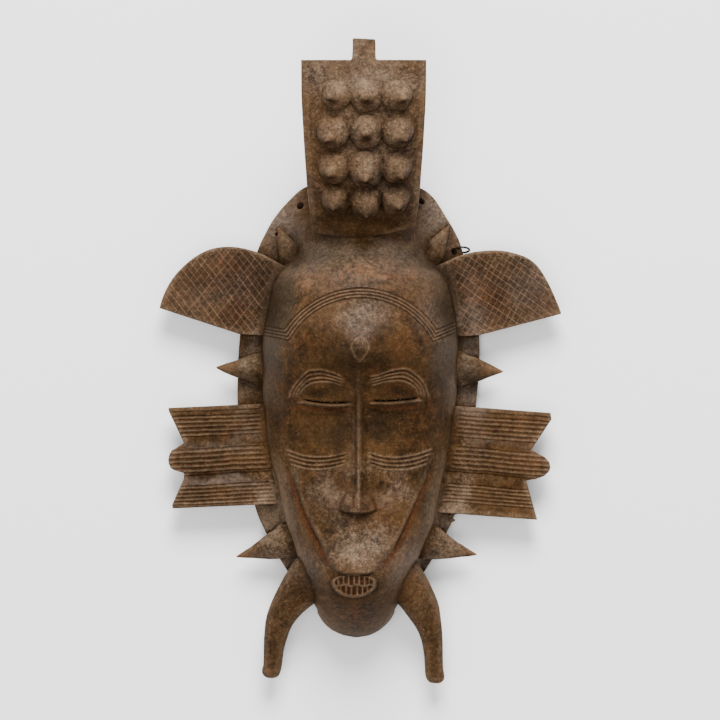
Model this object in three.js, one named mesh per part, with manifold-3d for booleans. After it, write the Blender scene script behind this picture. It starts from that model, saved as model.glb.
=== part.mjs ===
// A carved wooden face mask with a crest panel, lying on its back with the face up.
// Millimetres, +Z up: X runs across the mask, Y from the chin to the crest, Z out of the face.
// The mask is one piece of wood, hollow behind. A small wire loop hangs in a hole of its rim.

import * as THREE from 'three';
import { mergeVertices } from 'three/addons/utils/BufferGeometryUtils.js';
import Module from 'manifold-3d';

const wasm = await Module();
wasm.setup();

// Rim plate behind the face: heights of its edge, and how it thickens towards the face.
const rim = { edgeBack: 4.5, edgeFront: 8, backBevel: 8, bevelRun: 5, rise: 6, riseWidth: 16, least: 1 };
const chin = { x: -2.2, y: -131.3, radius: 23.6, halfAngle: 78, steps: 12 };
const rimTop = [0.6, 101.1];
const rimRight = [
  [18, 99.8], [32.6, 96.6], [40.8, 90.9], [48.2, 79.7], [53.8, 70.1], [57, 61.7], [63, 38],
  [66.5, 14], [66.5, -5.6], [64.5, -27.9], [61, -55], [53.6, -83.8], [48.6, -96.1], [35.8, -118.4],
];
const rimLeft = [
  [-17, 99.8], [-30.6, 96.6], [-39.5, 89.2], [-47.8, 79.5], [-53.6, 69.3], [-57.5, 60.3], [-64, 38],
  [-67, 14], [-68.2, -5.6], [-68.2, -25.1], [-65, -55], [-58.7, -81.6], [-52.8, -96.1], [-40.5, -117.9],
];

// Foot of the face and hair dome on the rim plate, as [y, x], from the chin up.
const footLeft = [
  [-155.5, -2.1], [-154.6, -6], [-151.5, -14.5], [-147.5, -19.8], [-142, -23.5], [-136, -26.3],
  [-126, -29], [-115, -33], [-105, -37], [-95, -40.5], [-81, -44], [-67, -47], [-56, -50],
  [-39.2, -52.5], [-22.4, -54.2], [0, -54.5], [16.8, -54], [28, -52], [42, -49], [52, -43.5],
  [57, -36.5], [64.4, -33], [72, -31], [76, -28.5], [82, -24], [89, -18], [95, -13],
];
const footRight = [
  [-155.5, -1.9], [-154.6, 3], [-151.5, 10], [-147.5, 14.6], [-142, 18.5], [-136, 21.7],
  [-126, 25.5], [-115, 30.5], [-105, 35.5], [-95, 40], [-81, 43.5], [-67, 46.5], [-56, 49],
  [-39, 51.5], [-22.4, 53.8], [0, 54.5], [16.8, 54.5], [28, 53], [42, 50], [52, 44.5],
  [57, 37], [64.4, 34], [72, 33], [76, 30.5], [82, 26], [89, 19], [95, 13],
];

// Height of the face along its middle, without the nose, as [y, z].
const faceHeight = [
  [-155.5, 7.5], [-154, 12], [-151.5, 23], [-147, 35], [-140, 48], [-133, 57.5], [-126, 63.5],
  [-121, 66.5], [-116, 67.5], [-110, 67], [-100, 64.8], [-85, 62.6], [-72, 62.2], [-62, 62.3],
  [-50, 62.8], [-36, 63], [-24, 66], [-16, 69], [-10, 73], [-5, 77], [0, 80.5], [6, 83],
  [14, 83.5], [25, 80.5], [37.5, 74.5], [50, 67], [60, 60], [70, 52], [75, 47], [80, 40], [86, 30],
  [91, 21], [95, 14],
];
// How square the cross-section is: 2 is an ellipse, and more is squarer.
const squareness = [
  [-156, 2.2], [-130, 2.4], [-110, 3], [-85, 3.6], [-60, 3.6], [-30, 3.2], [0, 2.8], [20, 2.7], [78, 2.6],
  [95, 2.2],
];

// The cheeks and muzzle stand a step above the jaw inside two lines that meet at the mouth.
const step = {
  left: [[-120, -15.5], [-115.3, -17], [-108.2, -19.3], [-90.6, -28], [-76.9, -33.5], [-52.2, -40.1]],
  right: [[-120, 10], [-115.9, 12], [-107.1, 17], [-87.9, 26.8], [-75.2, 32.4], [-51.1, 40.1]],
  height: [[-120, 3.6], [-105, 3.4], [-85, 2.6], [-64, 1.3], [-56, 0.5], [-50, 0]],
  top: -48, muzzleEnd: -116.6, softness: 1.3,
};

const nose = {
  x: -0.8, base: -86.2, baseCurve: 3.2, baseWidth: 11, baseSoftness: 1.6, nostrilsFrom: -70, nostrilsOver: 8,
  height: [[-88, 11], [-80, 10], [-70, 8.2], [-50, 6.5], [-30, 5], [-16, 4], [-11, 2.2], [-6, 0.3], [-2, 0]],
  halfWidth: [[-88, 11.8], [-82, 11.3], [-77.5, 9.3], [-73.7, 5.2], [-50, 4.1], [-20, 3.9], [0, 5]],
};
const eyes = [
  { x: -18.8, y: -21.2, slit: [-17.9, -23] },
  { x: 18.8, y: -20.2, slit: [20.2, -21.8] },
];
const eye = { halfWidth: 17.5, above: 13, below: 9, bulge: 2.6, slitLength: 22, slitWidth: 1.4 };
const mouth = {
  x: -3.1, y: -124.6, z: 63.6, tilt: 32, halfWidth: 12.3, halfHeight: 7.6, lip: 2, proud: 1.4, sunk: 5,
  recess: 1.6,
};
const teeth = { perRow: 6, pitch: 3.2, width: 2.3, height: 4, rowGap: 0.8, thickness: 3, z: -0.9, margin: 0.3 };

// Hollow behind the face, open at the back: how far it stays inside the foot, and its height along Y.
const hollow = {
  inset: 6, below: 2, endSquareness: 8,
  height: [
    [-141, 2], [-138, 18], [-134, 31], [-128, 43], [-120, 53], [-110, 55], [-60, 53], [-30, 54],
    [-20, 57], [-8, 65], [2, 70], [12, 73], [25, 70], [37, 63.5], [50, 54], [60, 40], [65, 26], [68, 2],
  ],
};

// Crest panel: it leans forward out of the head and stands up straight at its top.
const crest = {
  x: 2, from: 64, to: 162.4, rootY: 66, rootZ: 49, rise: 100, bend: 0.475, run: 96.4, thickness: 9.5,
  halfWidth: [[64, 28.5], [72, 28.8], [79, 30], [100, 31.7], [120, 32.9], [140, 33.8], [163, 34]],
  crown: 8, crownAt: 33, stations: 10, columns: 6,
};
const tab = { left: -4.1, right: 8.4, top: 174.2, depth: 6.5, root: 158, below: 0.8 };
const bosses = [
  { y: 143, droop: 0, columns: [[-13, 7.8], [3.3, 9], [20.1, 8.2]] },
  { y: 123.5, droop: 1, columns: [[-15, 8.2], [3.3, 8.8], [21, 8.2]] },
  { y: 104.3, droop: 1.6, columns: [[-14.6, 7.8], [3.3, 9.2], [20.2, 7.8]] },
  { y: 87, droop: 2, columns: [[-13.6, 7.4], [2.8, 8.2], [19.6, 7.4]] },
];
const boss = { height: 10, sunk: 2.5, splay: 4, middle: 5, uprightness: 0.6, sides: 8 };

// Ear wings, as [x, y] of the curved top edge from the head out, with a straight lower edge.
const wings = [
  {
    top: [[-36, 49], [-47, 55], [-56.5, 59.7], [-72.6, 63], [-85.9, 60.6], [-98, 52.3], [-105.8, 42.9],
      [-109.7, 35], [-111.4, 29.6]],
    low: [[-36, 12], [-67.1, 14.4], [-111.4, 28.8]],
  },
  {
    top: [[36, 50], [47.1, 54.3], [52.7, 57.1], [66.5, 60.5], [84.3, 59.8], [98, 53], [105, 42.3],
      [109.8, 31.6], [111.8, 26.6]],
    low: [[36, 12], [66.3, 13.7], [111.8, 25.6]],
  },
];
const wing = {
  root: 36, front: 23, frontAtTip: 22, back: 9, backAtTip: 14.5, crown: 1.6, stations: 13, columns: 4,
  crowding: 1.6,
};

// Combs at the cheeks: an outline with three prongs, and bands of grooves that run out along them.
const combs = [
  {
    side: -1, slope: -0.045,
    prongs: [[-44, -24], [-67.7, -25.2], [-106.6, -28.5], [-98, -46], [-103.7, -49], [-106.1, -52.7],
      [-106.5, -57.5], [-104, -61.4], [-97.8, -62.9], [-98, -66], [-104.6, -80.8], [-40, -81]],
    bands: [[-30, -41.5], [-48, -61], [-68.5, -79]],
  },
  {
    side: 1, slope: -0.075,
    prongs: [[44, -24], [64.9, -26.4], [106.6, -33], [95.3, -50], [101.5, -53.5], [105, -56.6], [105.8, -60.5],
      [103.4, -64.5], [98.6, -66.4], [92.4, -67], [98.8, -89.6], [56.6, -83.8], [40, -81]],
    bands: [[-31, -42.5], [-48.5, -61], [-70, -80]],
  },
];
const comb = {
  root: 38, tip: 108, pivot: 60, top: -10, bottom: -102, stations: 3, front: 23, frontAtTip: 21.5, back: 8,
  backAtTip: 13, groove: 1.1, ridge: 0.2, ridges: 5, lobeRise: 2.2, bandEdge: 1.2,
};

// Round pieces that grow out of the carving: points on their axis with a radius at each.
const spikes = [
  [[-46, -6, 18, 9], [-60, -5.4, 16.5, 7.2], [-68, -4.9, 16, 5.5], [-80, -4.4, 16, 0.7]],
  [[46, -5, 18, 9], [59, -5.2, 16.5, 7.6], [66.4, -5.5, 16, 6.3], [79.5, -6.4, 16, 0.5]],
  [[-34, -97, 24, 11], [-43, -101, 20, 9.6], [-51.5, -104.2, 17, 6.4], [-68.8, -109.4, 15, 0.7]],
  [[31, -97, 24, 11], [39.5, -100.8, 20, 9.6], [48, -103.6, 17, 6.4], [64.8, -108.2, 15, 0.7]],
  [[-37, 52, 20, 9], [-40, 60, 25, 6.5], [-45.5, 73.2, 33, 0.5]],
  [[39, 52, 20, 9], [42.5, 60, 25, 6.5], [49.3, 74.3, 33, 0.5]],
];
const horns = [
  [[-28, -104, 32, 8], [-30.2, -115, 30, 9.5], [-35.2, -128, 26.5, 10.6], [-41, -138.6, 23.5, 9.4],
    [-45.3, -147.3, 21.5, 7.9], [-47.3, -157, 19.5, 6.7], [-48.5, -166, 17.5, 6], [-49.6, -173, 16, 6],
    [-50, -176.7, 15.5, 4.4]],
  [[23, -104, 32, 8], [25.2, -115, 30, 9.5], [30, -128.5, 26.5, 10.6], [35, -139, 23.5, 9.2],
    [38.8, -148, 21.5, 7.5], [40.6, -157, 19.5, 6.4], [41.5, -166, 17.5, 5.9], [42.1, -175.5, 15.5, 5.9],
    [42.4, -179.8, 15, 4.3]],
];
const round = { sides: 9, flatness: 0.85, spikeSteps: 5, hornSteps: 12 };

// Holes through the rim plate, as [x, y, radius]. The wire loop hangs in the first.
const rimHoles = [
  [53.4, 61.5, 2.1], [-33.5, 86.6, 2.1], [34.6, 89.2, 2], [-46.9, 71, 1.2], [50.2, -87.2, 0.7],
  [46.4, -94.4, 0.7],
];
const wireLoop = { radius: 4, wire: 0.42, z: 5.9, tilt: 21, offset: 3.7, sides: 6, steps: 22 };
// Upright cuts go right through the part.
const cutDepth = 100;

// The origin: on the flat back, under the middle of the whole mask.
const origin = { x: 0.2, y: -3.05 };

const colours = { wood: 0x5b4433, wire: 0x1b1a1a };

// Value at t of a smooth line through [t, value] knots that are listed with t rising.
function through(t, knots) {
  let i = 0;
  while (i < knots.length - 2 && t > knots[i + 1][0]) i += 1;
  const chord = (k) => (knots[k + 1][1] - knots[k][1]) / (knots[k + 1][0] - knots[k][0]);
  const slope = (k) => (chord(Math.max(k - 1, 0)) + chord(Math.min(k, knots.length - 2))) / 2;
  const run = knots[i + 1][0] - knots[i][0];
  const s = THREE.MathUtils.clamp((t - knots[i][0]) / run, 0, 1);
  const start = (2 * s ** 3 - 3 * s ** 2 + 1) * knots[i][1] + (s ** 3 - 2 * s ** 2 + s) * run * slope(i);
  return start + (3 * s ** 2 - 2 * s ** 3) * knots[i + 1][1] + (s ** 3 - s ** 2) * run * slope(i + 1);
}

// 0 below zero, 1 above one, and a smooth rise between.
const ease = (t) => THREE.MathUtils.smoothstep(t, 0, 1);

const spread = (from, to, count) =>
  Array.from({ length: count + 1 }, (unused, i) => from + ((to - from) * i) / count);

const point = (x, y, z) => new THREE.Vector3(x, y, z);

// A closed body through loops with the same number of points, each loop flat, with flat ends.
function loft(loops) {
  const count = loops[0].length;
  const index = [];
  for (let j = 0; j < loops.length - 1; j += 1) {
    for (let i = 0; i < count; i += 1) {
      const a = j * count + i;
      const b = j * count + ((i + 1) % count);
      index.push(a, b, b + count, a, b + count, a + count);
    }
  }
  const cap = (loop, offset, reverse) => {
    for (const [a, b, c] of flatTriangles(loop)) {
      index.push(...(reverse ? [a, c, b] : [a, b, c]).map((k) => k + offset));
    }
  };
  cap(loops[0], 0, true);
  cap(loops.at(-1), (loops.length - 1) * count, false);
  const geometry = new THREE.BufferGeometry().setFromPoints(loops.flat());
  geometry.setIndex(index);
  return geometry;
}

// Triangles that fill a flat loop, turning the same way as the loop does.
function flatTriangles(loop) {
  const normal = new THREE.Vector3();
  loop.forEach((p, i) => normal.add(new THREE.Vector3().crossVectors(p, loop[(i + 1) % loop.length])));
  normal.normalize();
  const across = new THREE.Vector3().subVectors(loop[1], loop[0]).normalize();
  const up = new THREE.Vector3().crossVectors(normal, across);
  const flat = loop.map((p) => new THREE.Vector2(p.dot(across), p.dot(up)));
  return THREE.ShapeUtils.triangulateShape(flat, []);
}

// A solid from a closed geometry, with faces turned outwards.
function solid(geometry) {
  const bare = geometry.clone();
  bare.deleteAttribute('normal');
  bare.deleteAttribute('uv');
  const merged = mergeVertices(bare, 1e-4);
  const at = merged.index.array;
  const triangles = [];
  for (let i = 0; i < at.length; i += 3) {
    const [a, b, c] = [at[i], at[i + 1], at[i + 2]];
    if (a !== b && b !== c && c !== a) triangles.push(a, b, c);
  }
  const positions = merged.attributes.position;
  const corners = triangles.map((k) => new THREE.Vector3().fromBufferAttribute(positions, k));
  let volume = 0;
  for (let i = 0; i < corners.length; i += 3) {
    volume += corners[i].dot(new THREE.Vector3().crossVectors(corners[i + 1], corners[i + 2]));
  }
  if (volume < 0) triangles.reverse();
  const vertProperties = new Float32Array(positions.array);
  return new wasm.Manifold(new wasm.Mesh({ numProp: 3, vertProperties, triVerts: new Uint32Array(triangles) }));
}

function geometryOf(body) {
  const mesh = body.getMesh();
  const geometry = new THREE.BufferGeometry();
  geometry.setAttribute('position', new THREE.BufferAttribute(new Float32Array(mesh.vertProperties), 3));
  geometry.setIndex(new THREE.BufferAttribute(new Uint32Array(mesh.triVerts), 1));
  return geometry;
}

const joined = (bodies) => bodies.reduce((sum, body) => sum.add(body));

// The rim's outline as a closed line of [x, y]: its sides are smooth and the chin is an arc.
function rimOutline() {
  const arc = spread(-chin.halfAngle, chin.halfAngle, chin.steps).map((degrees) => {
    const a = THREE.MathUtils.degToRad(degrees);
    return [chin.x - chin.radius * Math.sin(a), chin.y - chin.radius * Math.cos(a)];
  });
  const corners = [rimTop, ...rimRight, ...arc, ...rimLeft.toReversed()];
  const curve = new THREE.CatmullRomCurve3(corners.map(([x, y]) => point(x, y, 0)), true, 'centripetal');
  return curve.getPoints(corners.length * 5).slice(0, -1);
}
const outline = rimOutline();

// The rim's left and right edge at a height y.
function rimSpan(y) {
  const crossings = [];
  outline.forEach((a, i) => {
    const b = outline[(i + 1) % outline.length];
    if (a.y > y !== b.y > y) crossings.push(a.x + ((b.x - a.x) * (y - a.y)) / (b.y - a.y));
  });
  return [Math.min(...crossings), Math.max(...crossings)];
}

function rimDistance(x, y) {
  let best = Infinity;
  outline.forEach((a, i) => {
    const b = outline[(i + 1) % outline.length];
    const line = new THREE.Line3(a, b);
    const near = line.closestPointToPoint(point(x, y, 0), true, new THREE.Vector3());
    best = Math.min(best, Math.hypot(near.x - x, near.y - y));
  });
  return best;
}

const plateHeight = (x, y) => rim.edgeFront + rim.rise * ease(rimDistance(x, y) / rim.riseWidth);

const middle = (y) => -1.1 * ease((-y - 100) / 50);

// Share of the full height at a place across the face: 1 in the middle, 0 at the foot.
function crossSection(share, y) {
  return Math.sqrt(Math.max(0, 1 - Math.abs(share) ** through(y, squareness)));
}

// The nose is a narrow roof that widens into two nostrils at its base.
function noseHeight(x, y) {
  const reach = Math.min(Math.abs(x - nose.x) / through(y, nose.halfWidth), 1);
  const roof = (1 - reach) ** 1.15;
  const nostrils = 0.62 * (1 - reach) ** 2.2 + 0.38 * (1 - reach ** 5);
  const share = THREE.MathUtils.lerp(roof, nostrils, ease((nose.nostrilsFrom - y) / nose.nostrilsOver));
  const base = nose.base + nose.baseCurve * ((x - nose.x) / nose.baseWidth) ** 2;
  return Math.max(through(y, nose.height), 0) * share * ease((y - base) / nose.baseSoftness);
}

// Each closed eye is a low oval swelling.
function eyeHeight(x, y) {
  return eyes.reduce((sum, at) => {
    const reach = Math.abs((x - at.x) / eye.halfWidth) ** 2.3;
    const up = Math.abs((y - at.y) / (y > at.y ? eye.above : eye.below)) ** 2.2;
    return sum + eye.bulge * Math.max(1 - reach - up, 0) ** 0.8;
  }, 0);
}

function stepHeight(x, y) {
  if (y > step.top) return 0;
  const within = Math.min(x - through(y, step.left), through(y, step.right) - x, y - step.muzzleEnd);
  return Math.max(through(y, step.height), 0) * ease(within / step.softness + 0.5);
}

// Height of the front of the face, where share runs from -1 at the left foot to 1 at the right foot.
function faceFront(x, y, share) {
  const plate = plateHeight(x, y);
  if (y > faceHeight.at(-1)[0]) return plate;
  const body = plate + (through(y, faceHeight) - plate) * crossSection(share, y);
  return body + stepHeight(x, y) + noseHeight(x, y) + eyeHeight(x, y);
}

// Columns of one side, from the middle out: they follow the nose, the step of the cheek and the foot.
function sideColumns(y, side) {
  const [edge, foot, stepLine] = side < 0
    ? [rimSpan(y)[0], through(y, footLeft), through(y, step.left)]
    : [rimSpan(y)[1], through(y, footRight), through(y, step.right)];
  const width = Math.min(Math.abs(foot - middle(y)), Math.abs(edge - middle(y)) - rim.least);
  const stepAt = THREE.MathUtils.clamp(Math.abs(stepLine) / width, 0.5, 0.8);
  const flank = THREE.MathUtils.clamp(through(y, nose.halfWidth) / width, 0.02, 0.28);
  const shares = [flank / 2, ...spread(flank, stepAt - 0.02, 4), stepAt + 0.02, 0.89, 0.97, 1];
  return shares.map((share) => [share * side, middle(y) + share * side * width]);
}

// One loop of the mask's body at a height y: across the front, then back along the flat underside.
function bodyLoop(y) {
  const [left, right] = rimSpan(y);
  const columns = [...sideColumns(y, -1).reverse(), [0, middle(y)], ...sideColumns(y, 1)];
  const front = columns.map(([share, x]) => point(x, y, faceFront(x, y, share)));
  const plate = (x) => point(x, y, plateHeight(x, y));
  const back = (x) => point(x, y, rim.edgeBack * (1 - ease(rimDistance(x, y) / rim.bevelRun)));
  const bevel = Math.min(rim.backBevel, (right - left) / 3);
  return [
    point(left, y, rim.edgeFront), plate((left + front[0].x) / 2), ...front,
    plate((right + front.at(-1).x) / 2), point(right, y, rim.edgeFront),
    point(right, y, rim.edgeBack), back(right - bevel), back(left + bevel), point(left, y, rim.edgeBack),
  ];
}

function bodySolid() {
  const rows = [
    ...spread(-154.8, -151.5, 2), ...spread(-148, -119, 7), -117, -115.8, ...spread(-110, -90, 3),
    -86.6, -85.4, -84, ...spread(-81, -71, 4), ...spread(-64, -34, 4), ...spread(-29, 17, 11),
    ...spread(23, 71, 9), 75, ...spread(80, 95, 3), 98, 100.4,
  ];
  return solid(loft(rows.map(bodyLoop)));
}

// The hollow behind the face, with the same cross-section as the front, and open below.
function hollowSolid() {
  const [start, end] = [hollow.height[0][0], hollow.height.at(-1)[0]];
  const rows = [...spread(start, start + 8, 3), ...spread(start + 16, end - 12, 12), end - 7, end - 3, end];
  const shares = [-1, -0.97, -0.88, -0.72, -0.5, -0.25, 0, 0.25, 0.5, 0.72, 0.88, 0.97, 1];
  return solid(loft(rows.map((y) => {
    const along = Math.abs(THREE.MathUtils.mapLinear(y, start, end, -1, 1));
    const narrowing = Math.sqrt(Math.max(0.02, 1 - along ** hollow.endSquareness));
    const left = (through(y, footLeft) + hollow.inset) * narrowing;
    const right = (through(y, footRight) - hollow.inset) * narrowing;
    const roof = shares.map((share) => {
      const x = THREE.MathUtils.mapLinear(share, -1, 1, left, right);
      return point(x, y, Math.max(through(y, hollow.height) * crossSection(share, y), 1));
    });
    return [...roof, point(right, y, -hollow.below), point(left, y, -hollow.below)];
  })));
}

const crestZ = (y) => {
  const t = (y - crest.rootY) / crest.run;
  return crest.rootZ + crest.rise * (t - crest.bend * t * t);
};
const crestSlope = (y) => (crest.rise / crest.run) * (1 - 2 * crest.bend * ((y - crest.rootY) / crest.run));
const crestCrown = (x) => crest.crown * ((x - crest.x) / crest.crownAt) ** 2;

// Each loop stands square to the crest's profile, so that the panel keeps its thickness.
function crestSolid() {
  const loops = spread(crest.from, crest.to, crest.stations).map((y) => {
    const half = through(y, crest.halfWidth);
    const tilt = Math.atan(crestSlope(y));
    const xs = spread(crest.x - half, crest.x + half, crest.columns);
    const at = (x, depth) => {
      const down = depth + crestCrown(x);
      return point(x, y + down * Math.sin(tilt), crestZ(y) - down * Math.cos(tilt));
    };
    return [...xs.map((x) => at(x, 0)), ...xs.toReversed().map((x) => at(x, crest.thickness))];
  });
  const panel = solid(loft(loops));
  const box = new THREE.BoxGeometry(tab.right - tab.left, tab.top - tab.root, tab.depth);
  const tabZ = crestZ(crest.to) - tab.depth / 2 - tab.below;
  box.translate((tab.left + tab.right) / 2, (tab.top + tab.root) / 2, tabZ);
  return joined([panel, solid(box), ...bosses.flatMap(bossRow)]);
}

// A thorn boss is a rounded cone that stands on the panel and leans outwards and down.
function bossRow({ y, droop, columns }) {
  const shape = [[1, 0], [0.84, 0.42], [0.42, 0.82], [0, 1]];
  return columns.map(([x, radius]) => {
    const line = shape.map(([share, height]) => new THREE.Vector2(share * radius, height * boss.height));
    line.unshift(new THREE.Vector2(0, -boss.sunk), new THREE.Vector2(radius, -boss.sunk));
    const geometry = new THREE.LatheGeometry(line, boss.sides);
    const splay = Math.abs(x - crest.x) > boss.middle ? Math.sign(x - crest.x) * boss.splay : 0;
    const sideSlope = (2 * crest.crown * (x - crest.x)) / crest.crownAt ** 2;
    const down = crestSlope(y) * boss.height * boss.uprightness + droop;
    const axis = point(sideSlope * boss.height + splay, -down, boss.height).normalize();
    geometry.applyQuaternion(new THREE.Quaternion().setFromUnitVectors(point(0, 1, 0), axis));
    geometry.translate(x, y, crestZ(y) - crestCrown(x));
    return solid(geometry);
  });
}

// A wing is a thin plate with a slightly crowned front, thicker at the head than at its tip.
function wingSolid({ top, low }) {
  const side = Math.sign(top[0][0]);
  const byReach = (line) => line.map(([x, y]) => [Math.abs(x), y]);
  const loops = spread(0, 1, wing.stations).map((t) => {
    const share = 1 - (1 - t) ** wing.crowding;
    const reach = THREE.MathUtils.lerp(wing.root, Math.abs(top.at(-1)[0]), share);
    const [high, bottom] = [through(reach, byReach(top)), lowEdge(reach, byReach(low))];
    const front = THREE.MathUtils.lerp(wing.front, wing.frontAtTip, share);
    const back = THREE.MathUtils.lerp(wing.back, wing.backAtTip, share);
    const across = spread(-1, 1, wing.columns).map((v) => {
      const y = (high + bottom) / 2 + (v * (high - bottom)) / 2;
      return point(side * reach, y, front + wing.crown * (1 - v * v) * (1 - share));
    });
    return [...across, point(side * reach, high, back), point(side * reach, bottom, back)];
  });
  return solid(loft(loops));
}

// Height of a line of straight pieces at a reach.
function lowEdge(reach, line) {
  const i = reach < line[1][0] ? 0 : 1;
  return THREE.MathUtils.mapLinear(reach, line[i][0], line[i + 1][0], line[i][1], line[i + 1][1]);
}

// Heights of a comb's front from its upper to its lower edge, as [y, height above its face].
function combProfile({ bands }) {
  const profile = [[comb.top, 0]];
  bands.forEach(([high, low], band) => {
    const rise = band === 1 ? comb.lobeRise : 0;
    const pitch = (high - low) / comb.ridges;
    profile.push([high + comb.bandEdge, 0]);
    for (let i = 0; i < comb.ridges; i += 1) {
      const bulge = rise * Math.sin((Math.PI * (i + 0.5)) / comb.ridges);
      profile.push([high - pitch * i, bulge - comb.groove]);
      profile.push([high - pitch * (i + 0.5), bulge + comb.ridge]);
    }
    profile.push([low, -comb.groove], [low - comb.bandEdge, 0]);
  });
  return [...profile, [comb.bottom, 0]];
}

// A comb is a grooved slab cut to its pronged outline.
function combSolid(shape) {
  const profile = combProfile(shape);
  const loops = spread(comb.root, comb.tip, comb.stations).map((reach) => {
    const share = (reach - comb.root) / (comb.tip - comb.root);
    const drop = shape.slope * (reach - comb.pivot);
    const x = shape.side * reach;
    const front = THREE.MathUtils.lerp(comb.front, comb.frontAtTip, share);
    const back = THREE.MathUtils.lerp(comb.back, comb.backAtTip, share);
    const roof = profile.map(([y, height]) => point(x, y + drop, front + height));
    return [...roof, point(x, comb.bottom + drop, back), point(x, comb.top + drop, back)];
  });
  const prongs = new THREE.Shape(shape.prongs.map(([x, y]) => new THREE.Vector2(x, y)));
  const prism = new THREE.ExtrudeGeometry(prongs, { depth: cutDepth, bevelEnabled: false });
  return solid(loft(loops)).intersect(solid(prism));
}

// A round body along a smooth axis through [x, y, z, radius] points, a little flatter than wide.
function roundSolid(axis, steps) {
  const curve = new THREE.CatmullRomCurve3(axis.map((at) => point(...at)), false, 'centripetal');
  const radii = axis.map((at, i) => [i / (axis.length - 1), at[3]]);
  const loops = spread(0, 1, steps).map((t) => {
    const centre = curve.getPoint(t);
    const along = curve.getTangent(t);
    const across = point(along.y, -along.x, 0).normalize();
    const up = new THREE.Vector3().crossVectors(across, along);
    const radius = through(t, radii);
    return spread(0, 2 * Math.PI, round.sides).slice(0, -1).map((a) => centre.clone()
      .addScaledVector(across, radius * Math.cos(a))
      .addScaledVector(up, radius * round.flatness * Math.sin(a)));
  });
  return solid(loft(loops));
}

// Lips are an oval ring round a shallow recess, with two rows of teeth in it.
function mouthParts() {
  const place = (geometry) => {
    geometry.rotateX(THREE.MathUtils.degToRad(mouth.tilt));
    geometry.translate(mouth.x, mouth.y, mouth.z);
    return solid(geometry);
  };
  const disc = (inset, from, to) => {
    const [halfWidth, halfHeight] = [mouth.halfWidth - inset, mouth.halfHeight - inset];
    const oval = new THREE.Shape().absellipse(0, 0, halfWidth, halfHeight, 0, 2 * Math.PI);
    const geometry = new THREE.ExtrudeGeometry(oval, { depth: to - from, bevelEnabled: false });
    geometry.translate(0, 0, from);
    return place(geometry);
  };
  const rows = [1, -1].flatMap((row) => spread(0, teeth.perRow - 1, teeth.perRow - 1).map((i) => {
    const box = new THREE.BoxGeometry(teeth.width, teeth.height, teeth.thickness);
    const x = (i - (teeth.perRow - 1) / 2) * teeth.pitch;
    box.translate(x, (row * (teeth.height + teeth.rowGap)) / 2, teeth.z);
    return place(box);
  }));
  return {
    ring: disc(0, -mouth.sunk, mouth.proud),
    opening: disc(mouth.lip, -mouth.recess, mouth.sunk),
    teeth: joined(rows).intersect(disc(mouth.lip - teeth.margin, -mouth.sunk, mouth.sunk)),
  };
}

function rimHole([x, y, radius]) {
  const geometry = new THREE.CylinderGeometry(radius, radius, cutDepth, 12);
  geometry.rotateX(Math.PI / 2);
  geometry.translate(x, y, 0);
  return solid(geometry);
}

function eyeSlit({ slit: [x, y] }) {
  const box = new THREE.BoxGeometry(eye.slitLength, eye.slitWidth, cutDepth);
  box.translate(x, y, cutDepth / 2);
  return solid(box);
}

function maskSolid() {
  const lips = mouthParts();
  const carved = joined([
    bodySolid(), crestSolid(), lips.ring, ...wings.map(wingSolid), ...combs.map(combSolid),
    ...spikes.map((axis) => roundSolid(axis, round.spikeSteps)),
    ...horns.map((axis) => roundSolid(axis, round.hornSteps)),
  ]);
  const cuts = joined([lips.opening, hollowSolid(), ...eyes.map(eyeSlit), ...rimHoles.map(rimHole)]);
  return carved.subtract(cuts).add(lips.teeth);
}

// The wire passes through a rim hole and round the rim's edge.
function wireGeometry() {
  const [[x, y]] = rimHoles;
  const { radius, wire, sides, steps } = wireLoop;
  const geometry = new THREE.TorusGeometry(radius, wire, sides, steps);
  geometry.rotateX(THREE.MathUtils.degToRad(90 - wireLoop.tilt));
  geometry.translate(x + wireLoop.offset, y, wireLoop.z);
  return geometryOf(solid(geometry));
}

function named(name, geometry, colour, roughness, metalness) {
  const material = new THREE.MeshStandardMaterial({ color: colour, roughness, metalness });
  const mesh = new THREE.Mesh(geometry, material);
  mesh.name = name;
  return mesh;
}

const mask = new THREE.Group();
mask.add(named('carved_wood_mask', geometryOf(maskSolid()), colours.wood, 0.7, 0));
mask.add(named('rim_wire_loop', wireGeometry(), colours.wire, 0.5, 0.8));
mask.position.set(-origin.x, -origin.y, 0);

export default mask;
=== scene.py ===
# A carved wooden face mask with a crest, lying on its back: its fine carving and its finish.
# Shapes are worked out in millimetres from the middle of the photo, and moved to the part's frame at the end.
import math
import bpy
import numpy as np
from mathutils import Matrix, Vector


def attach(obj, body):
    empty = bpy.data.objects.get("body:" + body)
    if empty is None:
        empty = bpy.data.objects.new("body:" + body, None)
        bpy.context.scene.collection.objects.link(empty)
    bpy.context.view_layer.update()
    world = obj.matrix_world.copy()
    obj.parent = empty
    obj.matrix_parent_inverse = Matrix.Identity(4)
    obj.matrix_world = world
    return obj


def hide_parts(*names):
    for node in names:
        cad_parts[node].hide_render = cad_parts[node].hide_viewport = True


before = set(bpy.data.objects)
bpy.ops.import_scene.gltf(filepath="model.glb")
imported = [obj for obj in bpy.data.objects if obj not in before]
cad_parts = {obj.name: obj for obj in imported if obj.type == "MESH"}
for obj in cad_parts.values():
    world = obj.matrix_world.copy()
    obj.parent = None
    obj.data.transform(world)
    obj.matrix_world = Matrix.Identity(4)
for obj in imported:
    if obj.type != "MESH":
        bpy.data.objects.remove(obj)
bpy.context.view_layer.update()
originShift = (-0.2, 3.05)
print("frame loaded")


# ---- curves, noise and surfaces

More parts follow.
